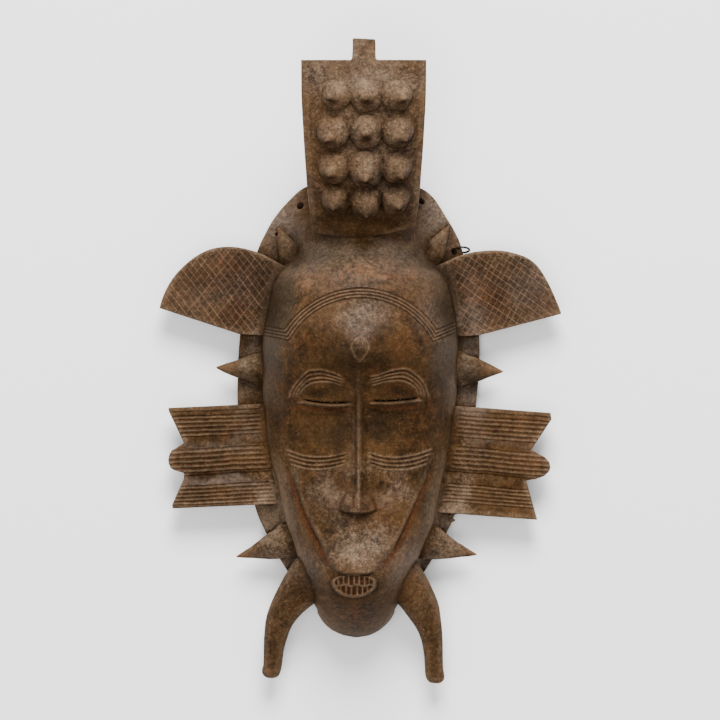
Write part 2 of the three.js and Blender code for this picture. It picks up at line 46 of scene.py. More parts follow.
def through(t, knots):
    # smooth line through (t, value) knots: a cubic between two knots, with the mean of the chords as slope
    x, y = np.array(sorted(knots), float).T
    chord = np.diff(y) / np.diff(x)
    slope = np.concatenate([chord[:1], (chord[1:] + chord[:-1]) / 2, chord[-1:]])
    i = np.clip(np.searchsorted(x, t) - 1, 0, len(x) - 2)
    run = x[i + 1] - x[i]
    s = np.clip((t - x[i]) / run, 0, 1)
    low = (2 * s**3 - 3 * s**2 + 1) * y[i] + (s**3 - 2 * s**2 + s) * run * slope[i]
    return low + (3 * s**2 - 2 * s**3) * y[i + 1] + (s**3 - s**2) * run * slope[i + 1]


def straight(t, knots):  # straight lines through (t, value) knots
    return np.interp(t, *np.array(sorted(knots), float).T)


def ease(t):  # 0 below 0, 1 above 1, 3t^2 - 2t^3 between
    t = np.clip(t, 0, 1)
    return t * t * (3 - 2 * t)


def bell(t):  # exp(-t^2)
    return np.exp(-t * t)


def edgeFall(depth, radius):  # how far a rounded edge falls: r (1 - sqrt(1 - (1 - d / r)^2)) at a distance d from it
    return radius * (1 - np.sqrt(1 - (1 - np.clip(depth / radius, 0, 1))**2))


def fullTurn(count):  # equal angles round a circle
    return np.linspace(0, 2 * math.pi, count, endpoint=False)


def softMax(a, b, k):  # the larger of two, rounded over a width k
    h = np.clip(0.5 + 0.5 * (a - b) / k, 0, 1)
    return b + (a - b) * h + k * h * (1 - h)


def noise(x, y, scale, seed):
    # random heights from -1 to 1 on a square lattice that repeats after 64 cells, joined by eased steps
    cells = 64
    table = np.random.default_rng(seed).uniform(-1, 1, (cells, cells))
    u, v = x / scale + 10 * cells, y / scale + 10 * cells
    i, j = np.floor(u).astype(int), np.floor(v).astype(int)
    f, g = ease(u - i), ease(v - j)
    i, j, k, l = i % cells, j % cells, (i + 1) % cells, (j + 1) % cells
    return (table[i, j] * (1 - f) + table[k, j] * f) * (1 - g) + (table[i, l] * (1 - f) + table[k, l] * f) * g


def spots(x, y, patches):  # sum of strength * exp(-((x - cx) / a)^2 - ((y - cy) / b)^2)
    return sum(s * np.exp(-((x - cx) / a)**2 - ((y - cy) / b)**2) for cx, cy, a, b, s in patches)


def curveThrough(points, steps=8):
    # Catmull-Rom curve through points: each span is a cubic with slope (next - previous) / 2
    p = np.asarray(points, float)
    q = np.vstack([2 * p[0] - p[1], p, 2 * p[-1] - p[-2]])
    t = np.linspace(0, 1, steps, endpoint=False)[None, :, None]
    a, b, c, d = q[:-3, None], q[1:-2, None], q[2:-1, None], q[3:, None]
    spans = 0.5 * (2 * b + (c - a) * t + (2 * a - 5 * b + 4 * c - d) * t**2 + (3 * b - a - 3 * c + d) * t**3)
    return np.vstack([spans.reshape(-1, p.shape[1]), p[-1:]])


def lineDistance(x, y, line):
    # distance to the nearest point of a line of straight pieces, and how far along it that point is, 0 to 1
    best, along = np.full(np.shape(x), 1e9), np.zeros(np.shape(x))
    step = np.diff(line, axis=0)
    length = np.hypot(step[:, 0], step[:, 1])
    start = np.concatenate([[0], np.cumsum(length)])
    for (ax, ay), (bx, by), l, s in zip(line[:-1], step, length, start):
        t = np.clip(((x - ax) * bx + (y - ay) * by) / (l * l + 1e-12), 0, 1)
        d = np.hypot(x - ax - t * bx, y - ay - t * by)
        along = np.where(d < best, s + t * l, along)
        best = np.minimum(best, d)
    return best, along / start[-1]


def raisedLines(x, y, lines, width, fade=0.06):
    # 1 on each line, falling as exp(-(d / width)^2), and tapering out over a share of its length at both ends
    z = np.zeros(np.shape(x))
    for line in lines:
        path = curveThrough(line, 6)
        low, high = path.min(0) - 2, path.max(0) + 2
        near = (x > low[0]) & (x < high[0]) & (y > low[1]) & (y < high[1])
        d, a = lineDistance(x[near], y[near], path)
        z[near] = np.maximum(z[near], bell(d / width) * ease(a / fade) * ease((1 - a) / fade))
    return z


def between(a, b, count):  # lines that turn evenly from line a to line b
    a, b = np.asarray(a, float), np.asarray(b, float)
    return [a + (b - a) * i / (count - 1) for i in range(count)]


def stacked(*xyz):  # three coordinates as points, each spread to the shape of the largest
    return np.stack(np.broadcast_arrays(*xyz), -1)


def loft(front, values=None, back=None):
    # closed skin: each row, the front points and then the back ones, is a loop, and the two end loops are filled
    grid = front if back is None else np.concatenate([front, back], 1)
    rows, cols = grid.shape[:2]
    at = np.arange(rows * cols).reshape(rows, cols)
    right = np.roll(at, -1, axis=1)
    quads = np.stack([at[:-1], right[:-1], right[1:], at[1:]], -1).reshape(-1, 4)
    onBack = ((0, 0), (0, cols - front.shape[1]))   # where the values are 0
    return {"points": grid.reshape(-1, 3), "quads": quads, "caps": [at[0][::-1], at[-1]],
            "values": {k: np.pad(v, onBack).reshape(-1) for k, v in (values or {}).items()}}


def together(shapes):  # several closed skins as one mesh, with values of 0 where a skin has none
    sizes = [len(s["points"]) for s in shapes]
    starts = np.cumsum([0, *sizes[:-1]])
    names = sorted({k for s in shapes for k in s["values"]})
    values = {k: [s["values"].get(k, np.zeros(n)) for s, n in zip(shapes, sizes)] for k in names}
    return {"points": np.vstack([s["points"] for s in shapes]),
            "quads": np.vstack([s["quads"] + start for s, start in zip(shapes, starts)]),
            "caps": [cap + start for s, start in zip(shapes, starts) for cap in s["caps"]],
            "values": {k: np.concatenate(parts) for k, parts in values.items()}}


def addObject(name, data):
    made = bpy.data.objects.new(name, data)
    bpy.context.scene.collection.objects.link(made)
    return made


def newObject(name, shape):
    # the mesh of a skin, moved from millimetres round the photo's middle to metres round the part's origin
    points, quads, caps = (shape["points"] + np.array([*originShift, 0])) * 0.001, shape["quads"], shape["caps"]
    q = points[quads]
    normal = np.cross(q[:, 2] - q[:, 0], q[:, 3] - q[:, 1])
    if np.einsum("ij,ij->", q.mean(1), normal) < 0:   # volume under the faces: turned inside out when negative
        quads, caps = quads[:, ::-1], [cap[::-1] for cap in caps]
    sizes = np.array([4] * len(quads) + [len(cap) for cap in caps])
    corners = np.concatenate([quads.ravel(), *caps])
    mesh = bpy.data.meshes.new(name)
    mesh.vertices.add(len(points))
    mesh.vertices.foreach_set("co", points.ravel())
    mesh.loops.add(len(corners))
    mesh.loops.foreach_set("vertex_index", corners.astype(np.int32))
    mesh.polygons.add(len(sizes))
    mesh.polygons.foreach_set("loop_start", np.concatenate([[0], np.cumsum(sizes)[:-1]]).astype(np.int32))
    mesh.update(calc_edges=True)
    mesh.validate()
    for key, value in shape["values"].items():
        keepValue(mesh, key, value)
    return addObject(name, mesh)


def keepValue(mesh, name, value):  # one number for each point, which the materials read by its name
    mesh.attributes.new(name, "FLOAT", "POINT").data.foreach_set("value", value.astype(np.float32))


def cutAway(target, cutters):
    # target minus each cutter, with the modifiers' result kept as the mesh
    for cutter in cutters:
        cut = target.modifiers.new("cut", "BOOLEAN")
        cut.operation, cut.solver, cut.object = "DIFFERENCE", "MANIFOLD", cutter
    graph = bpy.context.evaluated_depsgraph_get()
    mesh = bpy.data.meshes.new_from_object(target.evaluated_get(graph))
    target.modifiers.clear()
    target.data = mesh
    for cutter in cutters:
        bpy.data.objects.remove(cutter)


def smooth(made):
    made.data.polygons.foreach_set("use_smooth", np.ones(len(made.data.polygons), bool))


def finishPiece(made, angle=40):  # smooth, but for the edges that turn more than the angle
    smooth(made)
    made.data.set_sharp_from_angle(angle=math.radians(angle))
    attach(made, "root")
    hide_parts("carved_wood_mask")
    triangles = sum(len(p.vertices) - 2 for p in made.data.polygons)
    print(made.name, triangles, "triangles")
    return made


# ---- the face on its rim plate

face = {
    # outline of the rim plate, from the top down both sides to the round chin: middle x, y, radius
    "rimTop": (0.6, 101.1),
    "rimRight": [(18, 99.8), (32.6, 96.6), (40.8, 90.9), (48.2, 79.7), (53.8, 70.1), (57, 61.7), (63, 38),
        (66.5, 14), (66.5, -5.6), (64.5, -27.9), (61, -55), (53.6, -83.8), (48.6, -96.1), (35.8, -118.4)],
    "rimLeft": [(-17, 99.8), (-30.6, 96.6), (-39.5, 89.2), (-47.8, 79.5), (-53.6, 69.3), (-57.5, 60.3), (-64, 38),
        (-67, 14), (-68.2, -5.6), (-68.2, -25.1), (-65, -55), (-58.7, -81.6), (-52.8, -96.1), (-40.5, -117.9)],
    "chin": (-2.2, -131.3, 23.6),
    # y, then x: where the body of the face leaves the plate on each side
    "footLeft": [(-155.5, -2.1), (-154.6, -6), (-151.5, -14.5), (-147.5, -19.8), (-142, -23.5), (-136, -26.3),
        (-126, -29), (-115, -33), (-105, -37), (-95, -40.5), (-81, -44), (-67, -47), (-56, -50), (-39.2, -52.5),
        (-22.4, -54.2), (0, -54.5), (16.8, -54), (28, -52), (42, -49), (52, -44), (57, -41), (64.4, -40), (72, -38),
        (76, -36), (82, -30), (89, -20), (95, -13)],
    "footRight": [(-155.5, -1.9), (-154.6, 3), (-151.5, 10), (-147.5, 14.6), (-142, 18.5), (-136, 21.7),
        (-126, 25.5), (-115, 30.5), (-105, 35.5), (-95, 40), (-81, 43.5), (-67, 46.5), (-56, 49), (-39, 51.5),
        (-22.4, 53.8), (0, 54.5), (16.8, 54.5), (28, 53), (42, 50), (52, 44.5), (57, 42), (64.4, 41), (72, 39),
        (76, 36), (82, 30), (89, 21), (95, 13)],
    # y, then the height along the middle line, and how square the cross-section is
    "middleHeight": [(-155.5, 7.5), (-154, 12), (-151.5, 23), (-147, 35), (-140, 48), (-133, 57.5), (-126, 63.5),
        (-121, 66.5), (-116, 67.5), (-110, 67), (-100, 64.8), (-85, 62.6), (-72, 62.2), (-62, 62.3), (-50, 62.8),
        (-36, 63), (-24, 66), (-16, 69), (-10, 73), (-5, 77), (0, 80.5), (6, 83), (14, 83.5), (25, 80.5),
        (37.5, 74.5), (50, 66.5), (60, 57.5), (66, 50), (72, 49), (77, 47), (81, 42), (86, 32), (91, 21), (95, 13),
        (98.5, 8), (101.1, 6)],
    "squareness": [(-156, 2.2), (-130, 2.4), (-110, 3), (-85, 3.6), (-60, 3.6), (-30, 3.2), (0, 2.8), (20, 2.7),
        (42, 2.6), (54, 2.4), (95, 2.2)],
    # the muzzle's edge, and how far it stands up
    "stepLeft": [(-120, -12), (-115.8, -13.6), (-111.4, -16), (-108.2, -17.8), (-98.8, -22.3), (-90.6, -26.8),
        (-76.9, -32.5), (-63.2, -37), (-52.2, -40.1), (-45, -41.5)],
    "stepRight": [(-120, 6.5), (-115.9, 9), (-111.5, 12), (-107.1, 15.2), (-98.9, 20.4), (-87.9, 25.8),
        (-75.2, 31.4), (-63.2, 36.8), (-51.1, 40.1), (-45, 41.5)],
    "stepHeight": [(-120, 3.6), (-105, 3.4), (-85, 2.6), (-64, 1.3), (-56, 0.5), (-50, 0)],
    "noseHeight": [(-88, 5.6), (-80, 6.2), (-70, 6.2), (-50, 5.6), (-30, 5), (-16, 4), (-9, 2.2), (-3, 0.3), (1, 0)],
    "noseWidth": [(-88, 11.8), (-81, 11.3), (-76, 9.3), (-72, 6), (-68, 4.9), (-50, 4.6), (-20, 4.6), (0, 6)],
    "noseX": -0.8, "eyes": [(-18.8, -21.2), (18.8, -20.2)],
    "slits": [[(-30.8, -21.8), (-26, -22.6), (-20.4, -23.3), (-13, -23.5), (-6.4, -23.2)],
        [(7.6, -22.4), (14, -22.5), (20.3, -22.1), (26, -21.6), (32, -20.8)]],
    # sizes of eye and mouth: half the width, then the height above and below the middle; widths of an upper and
    # a lower tooth; the hairline's middle and radius
    "eyeSize": (17.5, 13, 9), "eyeHeight": 3.6, "mouth": (-3.2, -121.9), "mouthSize": (11.8, 4.4, 8.2),
    "teeth": (2.8, 3.0), "hairCircle": (0.3, -10.6, 47.2), "hairPitch": 1.75, "hairDepth": 0.9,
    # the plate: height at its edge, its rise from there and the width of that rise; the wall round the hollow
    "plate": (8, 6, 16), "plateEdge": 1.6, "wall": 6,
    "hollowHeight": [(-141, 2), (-138, 18), (-134, 31), (-128, 43), (-120, 53), (-110, 55), (-60, 53), (-30, 54),
        (-20, 57), (-8, 65), (2, 70), (12, 73), (25, 70), (37, 63.5), (50, 54), (60, 40), (65, 26), (68, 2)],
    # rows of points: where each spacing starts, and the spacing; then points across the body and the plate
    "rows": [(-154.8, 1), (-135, 0.34), (-113, 0.85), (-64, 0.38), (-46, 0.8), (-25, 0.38), (-3, 0.7), (12, 0.45),
        (50, 1.1), (101, 0)],
    "faceColumns": 88, "plateColumns": 12,
    # holes through the rim: x, y, radius
    "holes": [(53.4, 61.5, 2), (-33.5, 86.6, 2.1), (34.6, 89.2, 1.9), (-46.9, 71, 1.1), (50.2, -87.2, 0.6),
        (46.4, -94.4, 0.6)],
    # worn or dirty spots and pits: x, y and their half width and height, or radius
    "lidSpots": [(-25, -17.6, 5, 3, 1), (20, -16.6, 9, 3, 1)],
    "bareSpots": [(-29, 42, 3.6, 3.2), (2, 49, 8, 3), (-10, 46, 3, 2.2), (12, 45, 4, 2.2)],
    "pits": [(11.5, -67.6, 1.1), (15.3, -68.8, 1.2), (13.8, -73, 0.9), (19.8, -71.7, 0.8), (-22.6, -67.6, 1.1),
        (-26, -70.6, 0.8), (-24.4, -75.6, 0.8)],
    # first and last of the lines carved side by side, left and right
    "brows": [
        ([(-39.4, -21.9), (-36.7, -15.3), (-29.2, -6.8), (-24.6, -5.6), (-20.4, -5.6), (-13.4, -7.7), (-8.8, -9.9)],
         [(-33.2, -19.8), (-32, -16.8), (-29, -14.2), (-26, -12.7), (-20.4, -12), (-15, -12.5), (-9.8, -14.2)]),
        ([(4.7, -9.5), (9.9, -8.5), (17.5, -5.9), (25.2, -5), (31, -8.5), (35.6, -14.2), (38, -21.9)],
         [(5.9, -14.4), (12.3, -12.3), (17.5, -11.6), (22.5, -11.5), (27.5, -13.2), (30.6, -15.8), (32.3, -19.5)])],
    "cheeks": [
        ([(-41.4, -49.1), (-32.9, -52.1), (-25.8, -53.2), (-16.5, -52.9), (-6.7, -51)], [(-38.9, -57),
         (-31.8, -59.2), (-24.7, -60.1), (-16.5, -59.4), (-7.7, -57.2)]),
        ([(3.8, -50.4), (11, -52.6), (19.2, -53.5), (30.2, -52.1), (40.6, -48.8)], [(5, -57.4), (13.2, -59.8),
         (21.9, -60.3), (30.2, -59.2), (37.3, -56.8)])],
    "diamond": [[(0, 12.8), (-2.6, 10.8), (-4.8, 7.3), (-3.4, 3.4), (-0.3, -1.4)],
        [(0, 12.8), (2.6, 10.9), (4.9, 7.3), (3.3, 3.2), (-0.3, -1.4)], [(-1.8, 8.6), (0, 11), (1.8, 8.6)]],
    "cracks": [[(-45.6, 67), (-47.6, 63.6), (-50.3, 60.4)], [(-44.2, 63.4), (-46.2, 59.6)],
        [(-49.5, 66.2), (-51.6, 63.4)]],
    "jaw": [
        [(-53, -22), (-51.2, -39), (-48.6, -56), (-45, -67), (-42.4, -81), (-38.4, -95), (-34.6, -105),
         (-30.9, -114.5), (-27, -125)],
        [(52.8, -25), (50.3, -39), (47.8, -56), (45, -67), (42.4, -78), (38.8, -92), (34.4, -103), (30, -113),
         (24, -124)]],
    # height, width and taper of each kind of line
    "lines": {"brows": (0.8, 0.6, 0.06), "cheeks": (0.75, 0.58, 0.06), "furrows": (-0.3, 0.5, 0.1),
              "diamond": (0.5, 0.48, 0.02), "cracks": (-0.5, 0.4, 0.2), "jaw": (0.9, 1.2, 0.2)},
}
carvedLines = {
    **{kind: [line for first, last in face[kind] for line in between(first, last, 4)] for kind in ("brows", "cheeks")},
    "furrows": [line for first, last in face["brows"] + face["cheeks"] for line in between(first, last, 7)[1::2]],
    **{kind: face[kind] for kind in ("diamond", "cracks", "jaw")},
}

chinX, chinY, chinRadius = face["chin"]
chinTurn = np.radians(np.linspace(78, 0, 7))
chinOut, chinLow = chinRadius * np.sin(chinTurn), chinY - chinRadius * np.cos(chinTurn)
edgeLeft = curveThrough([face["rimTop"], *face["rimLeft"], *zip(chinX - chinOut, chinLow)])
edgeRight = curveThrough([face["rimTop"], *face["rimRight"], *zip(chinX + chinOut, chinLow)])
rimLine = np.vstack([edgeRight, edgeLeft[::-1][1:]])


def above(y, start, run):  # 0 below the start, 1 from start + run on
    return ease((y - start) / run)


def below(y, start, run):  # 0 above the start, 1 from start - run down
    return ease((start - y) / run)


def edgeAt(line, y):  # x of an edge line at a height y
    order = np.argsort(line[:, 1])
    return np.interp(y, line[order, 1], line[order, 0])


def middleAt(y):  # x of the face's middle line, which leans a little below the nose
    return -1.1 * below(y, -100, 50)


def plateHeight(x, y):
    # the rim plate rises from 8 mm at its edge to 14 mm, with a rounded edge
    low, rise, width = face["plate"]
    d, _ = lineDistance(x, y, rimLine)
    return low + rise * ease(d / width) - edgeFall(d, face["plateEdge"]), d


def noseAdd(x, y):
    # a roof (1 - t)^1.05, t = 1 at the nose's side, that turns into two nostrils 0.5 (1 - t)^1.6 + 0.5 sqrt(1 - t^3.2),
    # cut off at a curved base line, with a thin ridge down its middle; and painted shade along the nostrils' outer edge
    # and a painted highlight down the ridge and on the nostrils' rims
    across = x - face["noseX"]
    t = np.clip(np.abs(across + 0.5 * below(y, -66, 8)) / through(y, face["noseWidth"]), 0, 1)
    low = below(y, -69.5, 7)
    roof = (1 - t)**1.05 * (1 - low) + (0.5 * (1 - t)**1.6 + 0.5 * np.sqrt(1 - t**3.2)) * low
    base = -84.9 + 2.6 * np.abs((x + 1.3) / 11.3)**3
    standing = above(y, base, 1.0)
    crease = 0.9 * low * bell((t - 0.42) / 0.13) * below(y, -72, 3)
    # painted shade along the nostrils' outer edge
    noseEdgeShade = np.maximum(bell((t - 0.86) / 0.13), 0.45 * ease((0.95 - t) / 0.1)) * low * standing
    # painted highlight: a pale line down the ridge and on the nostrils' rims
    onRidge = bell(across / 0.36) * above(y, -84, 2) * (0.4 + 0.6 * below(y, -60, 10)) * below(y, -12, 10)
    paintedShine = np.maximum(onRidge, 0.7 * bell((t - 1.02) / 0.07) * low * standing)
    height = np.clip(through(y, face["noseHeight"]), 0, None) * roof - crease
    ridge = 0.5 * bell(across / 0.5) * above(y, -84, 3) * below(y, -10, 10)
    return height * above(y, base, 1.5) + ridge, noseEdgeShade, paintedShine


def eyeAdd(x, y, middle, slit):
    # a low oval swelling, with a cut line, a raised lid line 1.5 mm under it and a hollow below that
    u, v = x - middle[0], y - middle[1]
    half, up, down = face["eyeSize"]
    r = np.abs(u / half)**2.3 + np.where(v > 0, np.abs(v) / up, np.abs(v) / down)**2.2
    ball = face["eyeHeight"] * np.clip(1 - r, 0, 1)**0.75
    path = curveThrough(slit, 6)
    slitY = np.interp(x, path[:, 0], path[:, 1])
    start, end = path[0, 0], path[-1, 0]
    past = np.abs(x - (start + end) / 2) - (end - start) / 2   # how far x lies past the slit's ends
    cut = bell((y - slitY) / 0.5) * below(past, 0.6, 1.5)
    lid = bell((y - slitY + 1.5) / 0.5) * below(past, 3.4, 2.5)
    sink = below(y, slitY - 2, 1.4) * ease((1 - r) * 1.6)
    return ball - 1.2 * cut + 0.5 * lid - 1.2 * sink, lid, cut


def mouthAdd(x, y):
    # a ring round a lens (flatter above than below), a shallow pit in it, and two rows of cells cut between thin bars
    u, v = x - face["mouth"][0], y - face["mouth"][1]
    half, up, down = face["mouthSize"]
    upper = v > 0
    power = np.where(upper, 2.1, 2.0)
    r = (np.abs(u / half)**power + np.where(upper, np.abs(v) / up, np.abs(v) / down)**power)**(1 / power)
    ring = bell((r - 0.95) / 0.075)
    inside, pit = below(r, 0.95, 0.1), below(r, 0.92, 0.1)
    fromParting = v - 0.5 * np.sin(u * 0.9) + 1.7
    row = fromParting > 0
    wide = np.where(row, *face["teeth"])
    phase = (u + np.where(row, 0.2, 1.5) + 0.35 * noise(u, np.where(row, 5.0, 40.0), 2.5, 12)) / wide
    toBar = (0.5 - np.abs(phase - np.floor(phase) - 0.5)) * wide
    upright, level = (1 - ease((d - 0.3) / 0.6) for d in (toBar, np.abs(fromParting)))
    bars = np.maximum(upright * inside, level) * (0.8 + 0.3 * noise(u, v, 3, 13)) * inside
    return ring - 1.3 * below(r, 0.9, 0.1) + 1.2 * bars, ring, bars, pit, bell((r - 1.12) / 0.06)


def hairBand(x, y):
    # grooves along the hairline: 0.5 - 0.5 cos(2 pi d / pitch) within 1.95 pitches of it, d the distance from a circle
    # over the brow that runs out into two straight arms
    circleX, circleY, radius = face["hairCircle"]
    circle = np.hypot(x - circleX, y - circleY) - radius
    left = (y - (13.7 - 0.2 * (x + 40))) * 0.98
    right = (y - (13.0 + 0.42 * (x - 40.5))) * 0.92
    d, pitch = np.minimum(circle, np.where(x < 0, left, right)), face["hairPitch"]
    band = below(np.abs(d), 1.95 * pitch, 0.4) * below(np.abs(x), 55, 4)
    wave = 0.5 + 0.5 * np.cos(2 * math.pi * d / pitch + math.pi)
    return wave * band, (1 - wave) * band


def muzzleEdge(x, y):
    # signed distance inwards from the muzzle's edge: two slanting sides and a lower ledge, corners rounded to 5 mm
    side = np.minimum(x - through(y, face["stepLeft"]), through(y, face["stepRight"]) - x)
    ledge = y + 117.1 - 0.003 * (x + 2.5)**2
    a, b = 5 - side, 5 - ledge
    return 5 - np.hypot(np.clip(a, 0, None), np.clip(b, 0, None)) - np.minimum(np.maximum(a, b), 0)


def faceHeight(x, y):
    # the plate, and on it the body: plate + (middle height - plate) (1 - share^n)^p, where share is 1 at its foot
    plate, d = plateHeight(x, y)
    middle = middleAt(y)
    left, right = through(y, face["footLeft"]), through(y, face["footRight"])
    onLeft = x < middle
    share = np.abs(np.where(onLeft, (x - middle) / (left - middle - 1e-6), (x - middle) / (right - middle + 1e-6)))
    body = np.clip(1 - share**through(y, face["squareness"]), 0, 1)**(0.5 + 0.6 * above(y, 46, 14))
    z = plate + (through(y, face["middleHeight"]) - plate) * body

    # the muzzle's step, with a groove outside it that fades where the lower corners are soft
    inwards = muzzleEdge(x, y)
    rise = np.clip(through(y, face["stepHeight"]), 0, None) * (y < -48)
    soft = below(y, -99, 10) * above(np.abs(x + 2.5), 8, 5)
    groove = bell((inwards + 0.8) / 0.85) * np.clip(rise / 2.4, 0, 1) * above(y, -116, 4) * (1 - soft)
    z = z + rise * ease(inwards / (1.5 + 6 * soft) + 0.5) - 1.1 * groove

    nose, noseEdgeShade, paintedShine = noseAdd(x, y)
    eyes = [eyeAdd(x, y, *eye) for eye in zip(face["eyes"], face["slits"])]
    lids, cuts = (sum(eye[i] for eye in eyes) for i in (1, 2))
    lips, ring, bars, pit, lipCut = mouthAdd(x, y)
    hairGroove, hairRidge = hairBand(x, y)
    drawn = {kind: raisedLines(x, y, carvedLines[kind], *size[1:]) for kind, size in face["lines"].items()}
    pits = np.maximum.reduce([bell(np.hypot(x - px, (y - py) * 0.8) / radius) for px, py, radius in face["pits"]])
    cleftWidth = 0.5 + 1.3 * above(y, -146, 10)
    cleft = bell((x + 3.1 + 0.1 * (y + 136)) / cleftWidth) * below(y, -134, 1.5) * above(y, -147, 3)
    z = z + nose + sum(eye[0] for eye in eyes) + lips - face["hairDepth"] * hairGroove - 0.5 * pits - 0.5 * cleft
    z = z + sum(face["lines"][kind][0] * line for kind, line in drawn.items())

    # below the combs the plate climbs to the head: + 11 exp(-distance from the foot / 4.5), fading at the plate's edge
    beyond = np.clip(share - 1, 0, None) * np.where(onLeft, middle - left, right - middle)
    lowHead = below(y, -44, 16)
    climb = 11 * np.exp(-beyond / 4.5) * lowHead * above(y, -128, 10) * ease(d / 6)
    z = softMax(plate + climb, np.where(share < 1, z, 0), 2.6)
    hand = 0.2 * noise(x, y, 10, 3) + 0.1 * noise(x, y, 4, 4) + 0.05 * noise(x, y, 1.7, 5)
    z = z + hand * ease(d / 3) * (0.3 + 0.7 * above(y, -150, 20))

    # paint, each value the strongest of its causes; some stand for light: painted shade under the muzzle's ledge,
    # beside the nose ridge and along the nostrils, and painted highlights on the nose and the lower head's steep wall
    # painted shade under the muzzle's lower ledge
    under = bell((inwards + 0.9) / 0.7) * below(y, -111, 3) * rise / 3.6 * (1 - soft)
    facet = bell((inwards + 2.1) / 1.9) * below(y, -50, 20) * above(y, -115, 6)
    # painted shade in thin lines beside the nose ridge, darker on its left
    noseLeftShade = bell((x + 2.2 + 1.3 * below(y, -70, 5)) / 0.95)
    noseSideShade = np.maximum(noseLeftShade, 0.6 * bell((x - 1.3) / 0.9)) * below(y, -14, 6) * above(y, -84, 6)
    bridge = bell((x + 0.6) / 5.5) * below(y, -6, 8) * above(y, -34, 14)
    crescent = sum(bell((x - ex) / 15) * bell((y - ey + 5.8 - ((x - ex) / 20)**2) / 1.9) for ex, ey in face["eyes"])
    lidSpots = spots(x, y, face["lidSpots"])
    bare = sum(ease((1.1 - np.hypot((x - sx) / a, (y - sy) / b) + 0.5 * noise(x, y, 2, 61)) / 0.5)
               for sx, sy, a, b in face["bareSpots"])
    cells = pit * (1 - bars)
    furrows = drawn["furrows"]
    # wear on raised lines, ring, teeth and bare spots, and painted highlight on the nose and on the lower head's steep
    # wall near its foot
    wear = np.maximum.reduce([
        0.8 * drawn["brows"], 0.8 * drawn["cheeks"], 0.9 * drawn["diamond"], 0.6 * drawn["jaw"], 0.8 * ring, 1.2 * bars,
        0.8 * paintedShine, 0.8 * lids, 0.9 * hairRidge, 1.1 * bell((share - 0.975) / 0.09) * lowHead, 0.6 * bare])
    # dirt in grooves, cuts, cracks and pits, and painted shade under the ledge, beside the nose and along the nostrils
    dirt = np.maximum.reduce([
        hairGroove, 0.75 * furrows, drawn["cracks"], cuts, 0.9 * pits, 0.3 * cells, 0.6 * lipCut, 0.15 * groove,
        0.8 * under, 0.9 * noseSideShade, 0.35 * bridge, 0.75 * noseEdgeShade, 0.42 * facet, 0.85 * lidSpots])
    # a red tone, also laid on the painted shade beside the nose and along the nostrils
    red = np.maximum.reduce([
        1.2 * facet, 0.6 * noseEdgeShade, 0.4 * furrows, 1.2 * cleft, 1.1 * cells, 0.4 * hairGroove, 0.8 * crescent,
        0.5 * noseSideShade, 0.5 * bare, 0.5 * lidSpots])
    return z, wear, dirt, red


def faceGrid():
    rows = face["rows"]
    y = np.concatenate([np.arange(a, b, step) for (a, step), (b, _) in zip(rows[:-1], rows[1:])] + [[100.9]])
    left, right, middle = edgeAt(edgeLeft, y), edgeAt(edgeRight, y), middleAt(y)
    footL = np.maximum(through(y, face["footLeft"]), left + 0.15 * (middle - left))
    footR = np.minimum(through(y, face["footRight"]), right + 0.15 * (middle - right))
    u = np.linspace(0, 1, face["faceColumns"])
    # evenly over 0.95 of the width, then closer points near the foot
    side = np.where(u < 0.86, u * 0.95 / 0.86, 0.95 + 0.05 * (1 - ((1 - u) / 0.14)**1.5))
    share = np.concatenate([-side[::-1], side[1:]])[None]
    faceX = middle[:, None] + np.abs(share) * np.where(share < 0, (footL - middle)[:, None], (footR - middle)[:, None])
    p = (1 - np.cos(np.linspace(0, math.pi / 2, face["plateColumns"], endpoint=False)))[None]
    plateL, plateR = (edge[:, None] + p * (foot - edge)[:, None] for edge, foot in ((left, footL), (right, footR)))
    x = np.hstack([plateL, faceX, plateR[:, ::-1]])
    y2 = np.broadcast_to(y[:, None], x.shape)
    z, wear, dirt, red = faceHeight(x, y2)
    inset = np.minimum(8, (right - left) / 3)
    backs = [stacked(right, y, 4.2)]
    for x0 in (right - inset * 0.35, right - inset, left + inset, left + inset * 0.35):
        backs.append(stacked(x0, y, 4.5 * (1 - ease(lineDistance(x0, y, rimLine)[0] / 5))))
    backs.append(stacked(left, y, 4.2))
    return loft(stacked(x, y2, z), {"wear": wear, "dirt": dirt, "red": red}, np.stack(backs, 1))


def hollowGrid():
    # the same cross-section as the face, the wall's width inside its foot, with gouge strokes
    y = np.linspace(-141, 68, 120)
    narrowing = np.sqrt(np.clip(1 - np.abs(np.linspace(-1, 1, 120))**8, 0.02, 1))
    left = (through(y, face["footLeft"]) + face["wall"]) * narrowing
    right = (through(y, face["footRight"]) - face["wall"]) * narrowing
    share = np.sin(np.linspace(-1, 1, 61) * math.pi / 2)[None]
    x = (left + right)[:, None] / 2 + share * (right - left)[:, None] / 2
    y2 = np.broadcast_to(y[:, None], x.shape)
    rounded = np.sqrt(np.clip(1 - np.abs(share)**through(y2, face["squareness"]), 0, 1))
    z = np.maximum(through(y2, face["hollowHeight"]) * rounded, 1)
    stroke = np.floor(y2 / 14 + 0.5 * noise(x, y2, 20, 8))
    gouge = 0.5 * np.abs(np.sin(x / 4.5 + 1.7 * stroke)) + 0.5 * noise(x, y2, 7, 9)
    z = np.maximum(z - gouge * above(z, 8, 12), 1)
    return loft(stacked(x, y2, z), back=np.stack([stacked(right, y, -2), stacked(left, y, -2)], 1))


def cordHole(x, y, radius):
    # burnt through at a slant: the ring grows from 0.75 of its radius below to 1.15 above, and moves inwards below
    a, z = fullTurn(20)[None], np.array([-5, 2, 8, 13, 20])[:, None]
    r = radius * (0.75 + 0.4 * (z + 5) / 25)
    inwards = (z - 11) * 0.6 / math.hypot(x, y)
    return loft(stacked(x + x * inwards + r * np.cos(a), y + y * inwards + 1.12 * r * np.sin(a), z))


